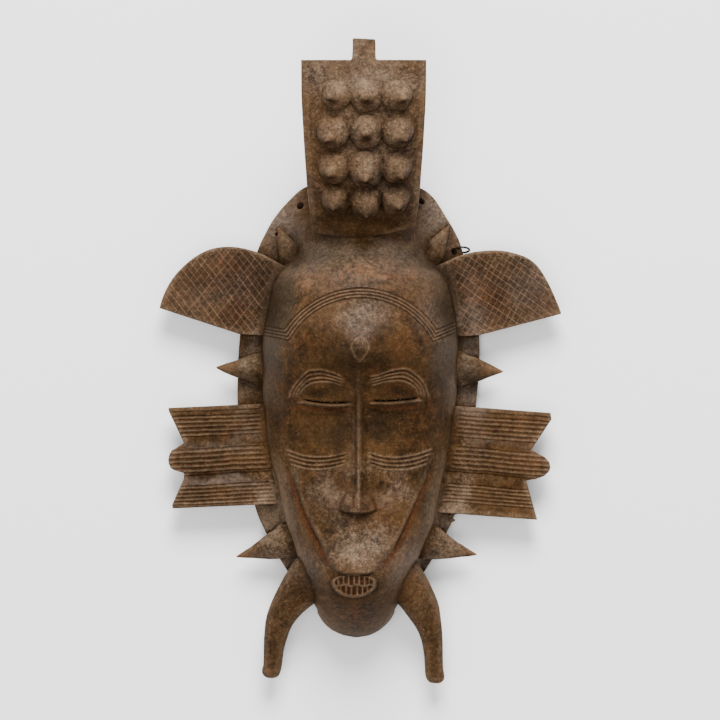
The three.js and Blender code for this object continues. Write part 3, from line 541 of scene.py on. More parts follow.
def slitCut(line):
    # a thin upright slab along the slit, 0.7 mm wide and pointed at its ends
    x, y = curveThrough(line).T
    half = 0.34 * np.sqrt(np.clip(1 - np.linspace(-1, 1, len(x))**6, 0.02, 1))
    return loft(np.stack([stacked(x, y + way * half, z) for way, z in ((1, 30), (1, 95), (-1, 95), (-1, 30))], 1))


print("carving the face")
maskFace = newObject("maskFace", faceGrid())
cutters = [newObject("cutHollow", hollowGrid())]
cutters += [newObject("cutHole", cordHole(*hole)) for hole in face["holes"]]
cutters += [newObject("cutSlit", slitCut(line)) for line in face["slits"]]
cutAway(maskFace, cutters)
finishPiece(maskFace)


# ---- the crest panel with its pointed bosses

crest = {
    "x": 2, "corners": (66.1, 69.4), "to": 162.4, "rootY": 66, "rootZ": 49, "rise": 100, "bend": 0.475, "run": 96.4,
    "thickness": 9.5, "crown": 8, "crownAt": 33, "edge": 0.9, "rows": 230, "columns": 170, "backColumns": 24,
    "halfWidth": [(64, 28.5), (72, 28.8), (79, 30), (100, 31.7), (120, 32.9), (140, 33.8), (163, 34)],
    # each boss: its middle, its radius, and how far its tip leans off the middle
    "bosses": [(-12.6, 143.5, 8.3, -5.2, -0.4), (3.3, 143.5, 9.4, 0.2, -0.6), (20, 143, 8.8, 5.8, -1),
               (-14.6, 123.5, 9, -4.2, -1.8), (3.3, 124, 9.3, 0.3, 1.6), (20.6, 123.5, 8.9, 4.8, -1.8),
               (-14.2, 104.3, 8.6, -3.6, -0.6), (3.3, 104.3, 10, -0.6, -2.4), (20, 104.3, 8.6, 3.4, -1.8),
               (-13.2, 87, 8.2, -2.4, -0.6), (2.9, 87, 9, 0.6, -3), (19.4, 87, 8.2, 2.7, -0.6)],
    "bossHeight": 9.8, "tab": (-4.1, 8.4, 174.2, 6.5),   # the tab's left, right, top and depth
}


def crestLine(y):
    # height and slope of the crest's profile: z = rootZ + rise (t - bend t^2), t = (y - rootY) / run
    t = (y - crest["rootY"]) / crest["run"]
    slope = crest["rise"] / crest["run"] * (1 - 2 * crest["bend"] * t)
    return crest["rootZ"] + crest["rise"] * (t - crest["bend"] * t * t), slope


def bossHeight(x, y):
    # a dome 0.74 (1 - r^2)^0.62 with a thorn 0.26 (1 - r / 0.45)^1.3 on it, knife-cut hollow under the thorn;
    # where two bosses meet the higher one counts, with its lean, a painted highlight on its upper side and painted
    # shade under the thorn and on its lower side
    best = np.zeros((5, *np.shape(x)))
    for i, (cx, cy, radius, leanX, leanY) in enumerate(crest["bosses"]):
        u, v = (x - cx) / radius, (y - cy) / radius
        r = np.hypot(u, v) * (1 + 0.03 * np.sin(5 * np.arctan2(v, u) + 2.1 * i))
        inside = np.clip(r, 0, 1)
        h = 0.74 * (1 - inside**2)**0.62 + 0.26 * np.clip(1 - inside / 0.45, 0, 1)**1.3
        h = h - 0.16 * bell((u - 0.3 * leanX / radius) / 0.5) * bell((v + 0.48) / 0.28) * (1 - inside**4)
        h = h * crest["bossHeight"] * (1 + 0.06 * math.sin(2.7 * i))
        # painted highlight on each boss's upper side
        paintedHighlight = bell((u + 0.1 * leanX / radius) / 0.5) * bell((v - 0.42) / 0.38)
        # painted shade under the thorn and on the boss's lower side
        tip, shadedLowSide = 1.6 * bell(u / 0.36) * bell((v + 0.2) / 0.24), 0.7 * bell(u / 0.8) * bell((v + 0.62) / 0.46)
        here = stacked(h, leanX, leanY, paintedHighlight, np.maximum(tip, shadedLowSide))
        best = np.where(h > best[0], np.moveaxis(here, -1, 0), best)
    return best


def crestGrid():
    across = np.linspace(-1, 1, crest["columns"])[None]
    lowLeft, lowRight = crest["corners"]
    foot = (lowLeft + lowRight) / 2 + (lowRight - lowLeft) / 2 * across
    y = foot + (crest["to"] - foot) * np.linspace(0, 1, crest["rows"])[:, None]
    z, slope = crestLine(y)
    tilt = np.arctan(slope)
    half = through(y, crest["halfWidth"])
    fromMiddle = across * half
    x = crest["x"] + fromMiddle
    height, leanX, leanY, paintedBossHighlight, paintedBossShade = bossHeight(x, y)
    lean = (np.clip(height, 0, None) / crest["bossHeight"])**1.9
    edge = np.minimum(half - np.abs(fromMiddle), y - foot + 0.3)
    crown = crest["crown"] * (fromMiddle / crest["crownAt"])**2
    lip = 0.7 * bell((x - 30.5) / 1.2) * above(y, 128, 6) * below(y, 150, 6)
    hand = 0.25 * noise(x, y, 9, 21) + 0.08 * noise(x, y, 3.4, 22) + 0.05 * noise(x, y, 1.5, 23)
    up = height + lip - edgeFall(edge, crest["edge"]) - crown + hand
    front = stacked(x + leanX * lean, y - up * np.sin(tilt) + leanY * lean, z + up * np.cos(tilt))
    pick = np.linspace(crest["columns"] - 1, 0, crest["backColumns"]).astype(int)
    x2, y2, z2, tilt2, deep = (field[:, pick] for field in (x, y, z, tilt, -(crest["thickness"] + crown)))
    deep[:, [0, -1]] += 0.8
    back = stacked(x2, y2 - deep * np.sin(tilt2), z2 + deep * np.cos(tilt2))
    bossFoot = bell((height - 0.6) / 0.7) * below(np.abs(x - 3), 26, 3)
    # the painted highlight on the bosses goes with the wear, the painted shade with the dirt and the red tone
    values = {"wear": 0.8 * paintedBossHighlight * (0.6 + 0.5 * noise(x, y, 3, 26)), "dirt": np.maximum(0.2 * bossFoot, 0.8 * paintedBossShade),
              "red": 0.7 * paintedBossShade}
    return loft(front, values, back)


def tabGrid():
    # a rounded bar that widens a little where it leaves the panel
    left, right, top, depth = crest["tab"]
    y = np.concatenate([np.linspace(156, 173, 60), [173.7, top]])[:, None]
    z = crestLine(crest["to"])[0] - 0.8
    a = fullTurn(64)[None]
    squareX, squareZ = (np.sign(wave) * np.abs(wave)**0.22 for wave in (np.cos(a), np.sin(a)))
    flare = 1.2 * np.exp(-np.clip(y - crest["to"], 0, None) / 0.9)
    shrink = np.clip(y - top + 0.6, 0, None) * 0.6
    uneven = 0.15 * noise(y + 0 * a, a * 2 + 0 * y, 3, 25)
    x = (left + right) / 2 + ((right - left) / 2 + flare - shrink) * squareX + uneven
    y2 = y - 0.5 * ease((x - left) / (right - left)) * above(y, 170, 4)
    return loft(stacked(x, y2, z - depth / 2 + (depth / 2 - shrink) * squareZ))


print("carving the crest")
maskCrest = finishPiece(newObject("maskCrest", together([crestGrid(), tabGrid()])), 50)


# ---- the ear wings, hatched all over

ears = {
    "root": 34, "front": (23, 22), "back": (9, 14.5), "crown": 1.6, "edge": 0.9, "stations": 250, "columns": 150,
    # outlines as distance from the middle, y; each hatch: angle, pitch, seed, strength; limit: y, where the head starts
    "left": {
        "side": -1, "top": [(34, 48), (47, 55), (56.5, 59.7), (72.6, 63), (85.9, 60.6), (98, 52.3), (105.8, 42.9),
                            (109.7, 35), (111.4, 29.6)],
        "low": [(34, 12), (67.1, 14.4), (111.4, 28.8)], "hatch": [(-53, 3.26, 1, 1.1), (50, 3.5, 2, 0.7)],
        "limit": [(10, 56), (20, 55), (28, 51.5), (42, 49.3), (54, 44), (64, 40)]},
    "right": {
        "side": 1, "top": [(34, 49), (47.1, 54.3), (52.7, 57.1), (66.5, 60.5), (84.3, 59.8), (98, 53), (105, 42.3),
                           (109.8, 31.6), (111.8, 26.6)],
        "low": [(34, 12), (66.3, 13.7), (111.8, 25.6)], "hatch": [(-35, 3.53, 3, 1), (62, 3.05, 4, 0.9)],
        "limit": [(10, 55), (28, 53), (42, 52), (54, 49), (64, 46)]},
}


def hatchLines(x, y, angle, pitch, seed, share):
    # parallel ridges: a point's distance across the family, p = x sin a - y cos a, to the nearest multiple of the pitch
    a = math.radians(angle)
    p = x * math.sin(a) - y * math.cos(a) + 0.5 * noise(x, y, 16, seed) + 0.14 * noise(x, y, 5, seed + 50)
    k = np.round(p / pitch)
    wobble = 0.09 * pitch * np.sin(k * 2.4 + seed)
    strength = share * (0.78 + 0.22 * np.sin(k * 1.7 + seed))
    return np.clip((1 - above(np.abs(p - k * pitch - wobble), 0.05, 0.36)) * strength, 0, 1)


def rampFrom(ends, share):  # evenly from the first of two values to the second
    return ends[0] + (ends[1] - ends[0]) * share


def earGrid(ear):
    share = 1 - (1 - np.linspace(0, 1, ears["stations"]))**1.35
    reach = rampFrom((ears["root"], ear["top"][-1][0]), share)
    high, low = through(reach, ear["top"]), straight(reach, ear["low"])
    v = np.linspace(0, 1, ears["columns"])[None]
    fromLow, fromTop = (high - low)[:, None] * v, (high - low)[:, None] * (1 - v)
    y = low[:, None] + fromLow
    out = np.broadcast_to(reach[:, None], y.shape)
    x = ear["side"] * out
    z = rampFrom(ears["front"], share)[:, None] + ears["crown"] * (1 - (2 * v - 1)**2) * (1 - share)[:, None]
    first, second = (hatchLines(x, y, *family) for family in ear["hatch"])
    lines = np.maximum(first, second * (1 - 0.75 * above(out, 88, 16)))
    past = out - straight(y, ear["limit"])   # how far a point lies outside the head
    field = above(fromTop - 0.5 * noise(x, y, 3, 33), 1.3, 0.8) * above(fromLow, 0.2, 0.6) * above(past, 1, 3)
    patch = (0.7 + 0.4 * noise(x, y, 11, 34)) * (1 - 0.5 * above(out, 92, 14))
    cuts = (1 - lines) * field * patch
    z = z + 5 * np.exp(-np.clip(past + 4, 0, None) / 2.4) - 0.5 * cuts   # up to the head in a hollow curve
    z = z - edgeFall(np.minimum(fromTop, fromLow), ears["edge"])
    z = z + 0.25 * noise(x, y, 9, 31) + 0.08 * noise(x, y, 2.2, 32)
    backZ = rampFrom(ears["back"], share)
    inset = 0.02 * (high - low)
    around = [(high, 0.6), (high - inset, 0), ((high + low) / 2, 0), (low + inset, 0), (low, 0.6)]
    backs = np.stack([stacked(ear["side"] * reach, at, backZ + rise) for at, rise in around], 1)
    values = {"wear": 0.85 * lines * field + 0.3 * (1 - ease(fromTop / 2.5)), "dirt": 0.85 * cuts, "red": 0.3 * field}
    return loft(stacked(x, y, z), values, backs)


print("carving the ears")
maskEars = finishPiece(newObject("maskEars", together([earGrid(ears[side]) for side in ("left", "right")])))


# ---- the grooved combs at the cheeks

combs = {
    "root": 36, "front": (22.4, 21.2), "back": (8, 13), "groove": 0.7, "lobeRise": 2.4, "ridges": 5, "edge": 0.9,
    "pivot": 60, "rows": 200, "columns": 110,
    # ends: height, and how far out the pronged outline lies; bands: top and bottom of the grooved fields
    "left": {
        "side": -1, "slope": -0.045, "top": -24.6, "bottom": -80.6,
        "bands": [(-29.8, -41.4), (-47.8, -61.2), (-68.2, -79.2)],
        "ends": [(-24.6, 106.6), (-26.4, 106.4), (-44.3, 98), (-46.6, 101.4), (-48.4, 104.8), (-50.7, 106.1),
                 (-53.2, 106.6), (-55.4, 106.4), (-58, 105.2), (-59.3, 103.4), (-61.2, 97.8), (-64.3, 98),
                 (-78.6, 104.6), (-80.6, 104.2)],
        "limit": [(-24, 55.5), (-31, 55), (-50, 53.4), (-59, 50.6), (-73, 48), (-82, 45)]},
    "right": {
        "side": 1, "slope": -0.075, "top": -26, "bottom": -86,
        "bands": [(-31.2, -43.6), (-48.6, -61.6), (-69.4, -80)],
        "ends": [(-26, 106), (-29.5, 106.6), (-47.3, 95.3), (-49.4, 99.5), (-50.8, 102.8), (-53.2, 105.2),
                 (-56, 105.9), (-58.5, 105.2), (-61.2, 102.6), (-63.5, 97.6), (-64.5, 92.4), (-86.6, 98.8), (-87, 98)],
        "limit": [(-24, 54.5), (-31, 54), (-53, 51.2), (-67, 48.4), (-76, 45.4), (-86, 43)]},
}


def combProfile(w, bands):
    # grooves |cos|^2.6 deep between rounded ridges 1 - cos^2, and a middle band that swells like half a bar
    z, ridge, groove = (np.zeros(np.shape(w)) for _ in range(3))
    for band, (high, low) in enumerate(bands):
        inside = ease((high + 0.4 - w) / 0.5) * ease((w - low + 0.4) / 0.5)
        wave = np.abs(np.cos(math.pi * (high - w) / (high - low) * combs["ridges"]))
        z = z - combs["groove"] * wave**2.6 * inside
        if band == 1:
            fromMiddle = (w - (high + low) / 2) / ((high - low) / 2 + 1.2)
            z = z + combs["lobeRise"] * np.sqrt(np.clip(1 - fromMiddle**2, 0, 1))
        ridge = np.maximum(ridge, (1 - wave**2) * inside)
        groove = np.maximum(groove, wave**3 * inside)
    return z, ridge, groove


def combGrid(comb):
    # rows run out along the comb: w is the height across it, and each row ends on the pronged outline
    w = np.linspace(comb["top"], comb["bottom"], combs["rows"])[:, None]
    reachEnd = straight(w, comb["ends"])
    reach = combs["root"] + np.linspace(0, 1, combs["columns"])[None] * (reachEnd - combs["root"])
    share = (reach - combs["root"]) / 70
    y = w + comb["slope"] * (reach - combs["pivot"])
    x = comb["side"] * reach
    level = w + 0 * reach
    cut = w + 0.42 * noise(reach, level, 17, 41) + 0.15 * noise(reach, level, 5, 44)
    profile, ridge, groove = combProfile(cut, comb["bands"])
    topGroove = bell((cut - comb["top"] + 2.9) / 0.45)
    past = reach - straight(y, comb["limit"])   # how far a point lies outside the head
    cutIn = ease((past - 0.4 * noise(x, y, 2, 45)) / 2.2)
    depth = cutIn * (0.85 + 0.3 * noise(reach, level, 6, 42))
    carved = combs["groove"] * groove**0.87
    edge = np.minimum(np.minimum(reachEnd - reach, comb["top"] - w + 0.1), w - comb["bottom"] + 0.1)
    z = rampFrom(combs["front"], share) + profile + carved - (carved + 0.7 * topGroove) * depth
    z = z - edgeFall(edge, combs["edge"]) + 5 * np.exp(-np.clip(past + 4.4, 0, None) / 2.2)
    z = z + 0.2 * noise(x, y, 8, 43) + 0.08 * noise(x, y, 2, 46)
    under = stacked(x, y, rampFrom(combs["back"], share))[:, ::-1][:, ::6]
    tip = ease((reach - reachEnd + 3) / 3)
    values = {"wear": 0.6 * ridge**2 * cutIn + 0.35 * tip, "dirt": 0.5 * np.maximum(groove, topGroove) * cutIn,
              "red": 0.4 * np.maximum(groove, tip)}
    return loft(stacked(x, y, z), values, under)


print("carving the combs")
maskCombs = finishPiece(newObject("maskCombs", together([combGrid(combs[side]) for side in ("left", "right")])))


# ---- spikes and horns

growths = {
    "sides": 48, "spikeSteps": 60, "hornSteps": 120, "flatness": 0.85, "facet": 1.5,
    "spikes": [   # middle line and half width, from inside the head to the tip
        [(-44, -4.8, 18, 13), (-54.5, -4.8, 17, 9.8), (-60, -4.7, 16.5, 7.7), (-68, -4.9, 16, 5),
         (-74, -4.6, 16, 2.9), (-80, -4.2, 16, 0.4)],
        [(44, -5, 18, 13.5), (53.5, -5.2, 17, 10.8), (59, -5.3, 16.5, 8.6), (66.4, -5.6, 16, 6.1),
         (73, -6, 16, 3.3), (79.7, -6.5, 16, 0.3)],
        [(-34, -98, 24, 12), (-41, -100.8, 21, 10), (-48.5, -103.6, 18, 7.6), (-60, -107.2, 15.5, 3.4),
         (-68.8, -109.6, 15, 0.4)],
        [(31, -98, 24, 12), (38, -101, 21, 10.2), (45, -103.6, 18, 7.8), (56, -106.5, 15.5, 3.6),
         (64.9, -108.4, 15, 0.4)],
        [(-31, 45, 16, 12), (-36, 54, 18.5, 8.6), (-40.8, 63.5, 22, 4.9), (-45.5, 73.4, 25, 0.4)],
        [(33, 46, 16, 12), (38.4, 55, 18.5, 8.4), (43.8, 65, 22, 4.7), (49.3, 74.4, 25, 0.4)],
        [(50.6, -85.8, 9.5, 1.3), (53.3, -85.7, 9.8, 0.6), (55.3, -85.6, 10, 0.15)],   # splinters at the plate's edge
        [(50, -89.2, 9, 1.4), (52.2, -89.5, 9, 0.8), (53, -89.7, 9, 0.2)],
    ],
    "horns": [    # outer and inner outline, from the top inside the head to the worn end
        ([(-24, -96), (-33, -107), (-40.7, -118), (-46, -127.7), (-50.4, -137.6), (-52.6, -145.5), (-53.6, -158),
          (-53.8, -168.8), (-54.6, -172.4), (-54.2, -175), (-52.3, -176.8), (-50, -177.2)],
         [(-8, -108), (-14, -122), (-19, -130), (-26, -135.6), (-32.7, -141.3), (-38, -148.4), (-40.7, -155.5),
          (-42.5, -162.6), (-43.5, -170.6), (-45.2, -175.6), (-47.8, -177.1), (-50, -177.2)]),
        ([(20, -96), (28.5, -107), (35.8, -118.5), (40, -126.8), (43.6, -135.6), (45.2, -145.3), (46, -156),
          (46.3, -170.4), (47.1, -176.5), (45.9, -179.2), (44, -180.1), (41.9, -180.2)],
         [(4, -108), (10, -122), (15, -130), (21.5, -136), (26.7, -142.7), (31.2, -149), (34.1, -156), (35.5, -163.3),
          (36, -169.4), (36.5, -176.1), (38.4, -179.3), (41.9, -180.2)]),
    ],
    "hornHeight": [(-181, 15), (-166, 17.5), (-148, 21.5), (-139, 23.5), (-128, 26.5), (-115, 30), (-96, 33)],
}


def evenly(line, count):  # points at equal steps along a smooth line
    path = curveThrough(line, 16)
    run = np.concatenate([[0], np.cumsum(np.linalg.norm(np.diff(path, axis=0), axis=1))])
    at = np.linspace(0, run[-1], count)
    return np.stack([np.interp(at, run, path[:, i]) for i in range(path.shape[1])], -1)


def spikeGrid(axis, seed):
    # a body along a smooth line: middle + r s(a) (across cos a + 0.85 up sin a), s(a) a rounded lozenge
    path = evenly(axis, growths["spikeSteps"])
    middle, radius = path[:, :3], np.clip(path[:, 3], 0.15, None)
    along = np.gradient(middle, axis=0)
    along /= np.linalg.norm(along, axis=1, keepdims=True)
    across = stacked(along[:, 1], -along[:, 0], 0)
    across /= np.linalg.norm(across, axis=1, keepdims=True)
    up = np.cross(across, along)
    a, t = fullTurn(growths["sides"])[None], np.linspace(0, 1, len(path))[:, None]
    p = growths["facet"]
    lozenge = (np.abs(np.cos(a))**p + np.abs(np.sin(a))**p)**(-1 / p)
    r = radius[:, None] * lozenge * (1 + 0.05 * noise(a * 2.2 + 0 * t, t * 9 + 0 * a, 1, seed))
    sideways, upwards = (r * np.cos(a))[..., None], (r * growths["flatness"] * np.sin(a))[..., None]
    tip = above(t, 0.6875, 0.3125) + 0 * a
    body = middle[:, None] + across[:, None] * sideways + up[:, None] * upwards
    return loft(body, {"wear": 0.3 * tip, "red": 0.7 * tip})


def hornGrid(outer, inner, seed):
    # round sections between two outlines, their height following the horn's own curve
    outer, inner = evenly(outer, growths["hornSteps"]), evenly(inner, growths["hornSteps"])
    middle, half = (outer + inner) / 2, (outer - inner) / 2
    z = through(middle[:, 1], growths["hornHeight"])[:, None]
    size = np.hypot(half[:, :1], half[:, 1:])
    a, t = fullTurn(growths["sides"])[None], np.linspace(0, 1, len(z))[:, None]
    uneven = 1 + 0.035 * noise(a * 2.2 + 0 * t, t * 14 + 0 * a, 1, seed) * (np.abs(np.sin(a)) + 0.2)
    side, lift = np.cos(a) * uneven, np.sin(a) * uneven * growths["flatness"]
    tip = above(t, 0.82, 0.2) + 0 * a
    body = stacked(middle[:, :1] + half[:, :1] * side, middle[:, 1:] + half[:, 1:] * side, z + size * lift)
    return loft(body, {"wear": 0.25 * tip, "red": 0.6 * tip})


print("carving the spikes and horns")
grown = [spikeGrid(axis, i) for i, axis in enumerate(growths["spikes"])]
grown += [hornGrid(outer, inner, 60 + i) for i, (outer, inner) in enumerate(growths["horns"])]
maskSpikes = finishPiece(newObject("maskSpikesAndHorns", together(grown)), 60)


# ---- wear, dirt, stains, painted highlights and painted shade, worked out on every point of the wood

stainsAndPaintedLight = {
    # cell of the height map, and how far it is blurred for fine and for broad relief, in millimetres
    "cell": 0.8, "fine": 1.4, "broad": 6, "low": (-120, -185), "size": (240, 370),
    # how far the edges of the patches wander, as width of the wandering and its scale
    "wander": [(5, 13, 81), (2, 4, 83)], "valleys": 0.6, "crestValleys": 0.35, "onSpikes": {"sheen": 0.4, "ochre": 0.8},
    # soft patches: x, y, half width, half height, strength
    "olive": [
        (0, 60, 16, 7, 0.45), (-26, -36, 12, 9, 0.35), (22, -36, 10, 8, 0.2), (-44, 30, 9, 17, 1),
        (47, 30, 9, 16, 0.8), (-22, 60, 18, 9, 0.6), (24, 58, 18, 10, 0.6), (-22, -17, 5, 3, 0.5),
        (24, -16, 5, 3, 0.4), (-11.5, -42, 4, 9, 0.3), (8, -38, 3.5, 9, 0.3), (-39, -80, 6, 26, 0.8),
        (39, -80, 6, 26, 0.8), (16, -140, 12, 10, 0.2), (-46, 5, 7, 14, 0.7), (46, 5, 7, 14, 0.7),
        (-14, -88, 8, 7, 0.6), (-26, -72, 5, 5, 0.5), (-7, -106, 6, 4, 0.4), (2, 168, 6, 6, 0.7),
        (-47, -142, 5, 18, 0.4), (38, -138, 5, 16, 0.3), (-75, -45, 26, 3, 0.6), (-75, -64.5, 26, 3, 0.5),
        (75, -47, 26, 3, 0.5), (75, -67, 26, 3, 0.5), (-61, 2, 7, 34, 0.8), (61, 2, 7, 34, 0.7),
        (-44, 78, 12, 20, 0.6), (44, 80, 12, 20, 0.6), (2, 30, 30, 5, 0.3), (-90, 38, 12, 12, 0.4),
        (90, 36, 12, 12, 0.3)],
    "red": [
        (0, -141, 20, 13, 0.42), (-39, 60, 5, 8, 0.35), (42, 61, 5, 8, 0.35), (-29, 43, 5, 5, 0.6),
        (-3, 50, 12, 6, 0.4), (14, 44, 7, 4, 0.5), (26, 46, 6, 5, 0.4), (-42, -30, 8, 22, 0.36),
        (42, -30, 8, 22, 0.42), (-26, -34, 10, 14, 0.12), (24, -34, 12, 14, 0.25), (20, -17, 10, 4, 0.6),
        (-26, 8, 12, 7, 0.54), (24, 6, 12, 7, 0.48), (0, -6, 24, 6, 0.54), (-29, 110, 4, 48, 0.3),
        (-64, 24, 12, 9, 0.3), (72, 36, 14, 12, 0.42), (-76, 48, 12, 8, 0.3), (25, -40, 12, 14, 0.15),
        (-26, -34, 10, 12, 0.15), (-40, -118, 7, 12, 0.24), (33, -120, 7, 14, 0.24), (-50, 62, 7, 10, 0.24),
        (50, 60, 7, 10, 0.3), (42, -148, 5, 26, 0.3), (-50, -160, 4, 16, 0.3), (-58, -101, 8, 8, 0.24),
        (58, -101, 8, 8, 0.24), (-100, -53, 8, 8, 0.3), (98, -56, 9, 8, 0.3), (1, -78, 8, 6, 0.3),
        (-55, -5, 8, 10, 0.24), (56, -5, 8, 10, 0.24)],
    # ochre dust and pale wood, and painted light brightening the plate's edges and the lower head's steep walls where
    # shade falls
    "ochre": [
        (0, -147, 15, 9, 0.3), (1, -103, 17, 14, 0.6), (-56, -88, 8, 14, 1), (52, -88, 8, 14, 1),
        (-50, -112, 6, 8, 0.6), (44, -110, 6, 8, 0.6), (-20, -72, 7, 7, 0.35), (24, -74, 8, 9, 0.35),
        (-3, -77, 9, 5, 0.55), (-46, -84, 6, 26, 0.8), (43, -84, 5, 22, 0.25), (2, 125, 30, 40, 0.45),
        (2, 152, 34, 9, 0.3), (-2, 51, 10, 5, 0.4), (-31, 42, 4, 4.5, 0.6), (-2, 31, 9, 4, 0.3), (2, 24, 18, 7, 0.35),
        (-46, 78, 9, 18, 0.3), (46, 80, 9, 18, 0.3), (-61, 4, 6, 22, 0.6), (61, 4, 6, 22, 0.5), (-88, 60, 20, 4, 0.4),
        (86, 58, 20, 4, 0.4), (2, -60, 34, 4, 0.4), (-57, -70, 6, 20, 0.4), (56, -72, 6, 20, 0.4),
        (40, 14, 6, 6, 0.4), (-40, 13, 6, 6, 0.3), (-44, -112, 6, 8, 0.4), (38, -106, 8, 6, 0.4)],
    # painted highlights and painted light: the sheen of the forehead and dome, lighter plates, walls and sides where
    # shade falls, and a paler grey tone on the ears and combs
    "sheen": [
        (-54, -92, 7, 18, 0.6), (50, -92, 7, 18, 0.7), (-1, 22, 15, 9, 0.55), (0, 48, 34, 14, 0.22),
        (2, 62, 30, 6, 0.1), (0, 48, 30, 8, 0.15), (-46, 80, 12, 20, 0.8), (46, 82, 12, 20, 0.9),
        (-62, 2, 7, 36, 0.3), (62, 2, 7, 36, 0.9), (0, -104, 15, 12, 0.5), (-18, -72, 6, 9, 0.3),
        (22, -74, 7, 10, 0.3), (-3, -77, 9, 5, 0.35), (-4, -46, 3, 26, 0.3), (38, 25, 8, 14, 0.35),
        (-85, 40, 26, 22, 0.25), (92, 40, 22, 22, 0.4), (-82, -66, 26, 3.4, 0.6), (-82, -45, 26, 3.4, 0.2),
        (82, -45, 26, 3.4, 0.15), (34, -132, 7, 6, 0.25), (2, 152, 32, 9, 0.6), (2, 170, 8, 12, 0.2),
        (-36, -112, 9, 10, 0.5), (31, -113, 9, 10, 0.5), (-47, 10, 5, 30, 0.25), (47, 10, 5, 30, 0.25),
        (-24, -120, 6, 14, 0.3), (20, -120, 6, 14, 0.3), (-60, -104, 10, 6, 0.3), (56, -104, 10, 6, 0.4),
        (2, 118, 30, 30, 0.25)],
    # soot and dark spots, and painted shade under the crest, on its lower part and above the brows
    "sootAndShade": [
        (-2, 60, 17, 6, 0.28), (-41, 30, 6, 13, 0.18), (41, 30, 6, 13, 0.2), (64, -9, 9, 5, 0.85),
        (-66, -9, 9, 5, 0.3), (-12.5, -44, 4, 8, 1), (8, -37, 3.5, 8, 1), (-20, -46, 5, 4, 0.4),
        (-25, -17.5, 6, 4, 0.8), (-14, -17, 5, 3, 0.3), (19, -16, 9, 4, 0.6), (-47, -10, 6, 60, 0.5),
        (47, -10, 6, 60, 0.5), (-19, -17, 10, 4, 0.5), (19, -16, 10, 4, 0.5), (-2, -10, 6, 12, 0.5),
        (-40, 52, 9, 12, 0.3), (42, 52, 9, 12, 0.3), (0, -2, 30, 7, 0.55), (-22, -36, 18, 12, 0.6),
        (22, -36, 18, 12, 0.6), (0, -138, 22, 8, 0.22), (-44, 28, 7, 16, 0.55), (46, 28, 7, 15, 0.45),
        (36, -92, 7, 24, 0.25), (2, 78, 30, 4, 0.8), (-49, 27, 4, 10, 0.6), (51, 30, 4, 10, 0.5), (0, 4, 26, 6, 0.5),
        (-20, -26.5, 11, 2.5, 0.4), (20, -26, 11, 2.5, 0.4), (-35, 58, 5, 8, 0.5), (36, 58, 5, 8, 0.5),
        (0, -152, 30, 5, 0.4), (0, -128, 20, 8, 0.2)],
}


def blurred(field, cells):
    # Gaussian blur: the field is convolved with exp(-(k / cells)^2 / 2) along both axes
    reach = int(3 * cells)
    weight = np.exp(-0.5 * (np.arange(-reach, reach + 1) / cells)**2)
    weight /= weight.sum()
    for axis in (0, 1):
        size = field.shape[axis]
        wide = np.pad(field, [(reach * (axis == side),) * 2 for side in (0, 1)], mode="edge")
        field = sum(w * np.take(wide, np.arange(i, i + size), axis=axis) for i, w in enumerate(weight))
    return field


def pointsOf(made):  # in millimetres round the part's origin
    points = np.zeros(len(made.data.vertices) * 3, np.float32)
    made.data.vertices.foreach_get("co", points)
    return points.reshape(-1, 3).astype(float) * 1000


def heightMap(pieces):
    # highest point in each cell seen from above, from ten points spread over each triangle, with small holes closed
    (lowX, lowY), cell = stainsAndPaintedLight["low"], stainsAndPaintedLight["cell"]
    top = np.zeros([int(size / cell) for size in stainsAndPaintedLight["size"][::-1]])
    spread = [(i / 3, j / 3, (3 - i - j) / 3) for i in range(4) for j in range(4 - i)]
    for made in pieces:
        made.data.calc_loop_triangles()
        corners = np.zeros(len(made.data.loop_triangles) * 3, np.int32)
        made.data.loop_triangles.foreach_get("vertices", corners)
        a, b, c = np.moveaxis(pointsOf(made)[corners.reshape(-1, 3)], 1, 0)
        for u, v, w in spread:
            x, y, z = (a * u + b * v + c * w).T
            np.maximum.at(top, (((y - lowY) / cell).astype(int), ((x - lowX) / cell).astype(int)), z)
    for pick in (np.maximum, np.minimum):
        for axis in (0, 1):
            top = pick(top, pick(np.roll(top, 1, axis), np.roll(top, -1, axis)))
    return blurred(top, 0.6)


def sampled(field, x, y):  # bilinear reading of a map
    (lowX, lowY), cell = stainsAndPaintedLight["low"], stainsAndPaintedLight["cell"]
    u = np.clip((x - lowX) / cell - 0.5, 0, field.shape[1] - 2)
    v = np.clip((y - lowY) / cell - 0.5, 0, field.shape[0] - 2)
    i, j = u.astype(int), v.astype(int)
    f, g = u - i, v - j
    upper = field[j + 1, i] * (1 - f) + field[j + 1, i + 1] * f
    return (field[j, i] * (1 - f) + field[j, i + 1] * f) * (1 - g) + upper * g


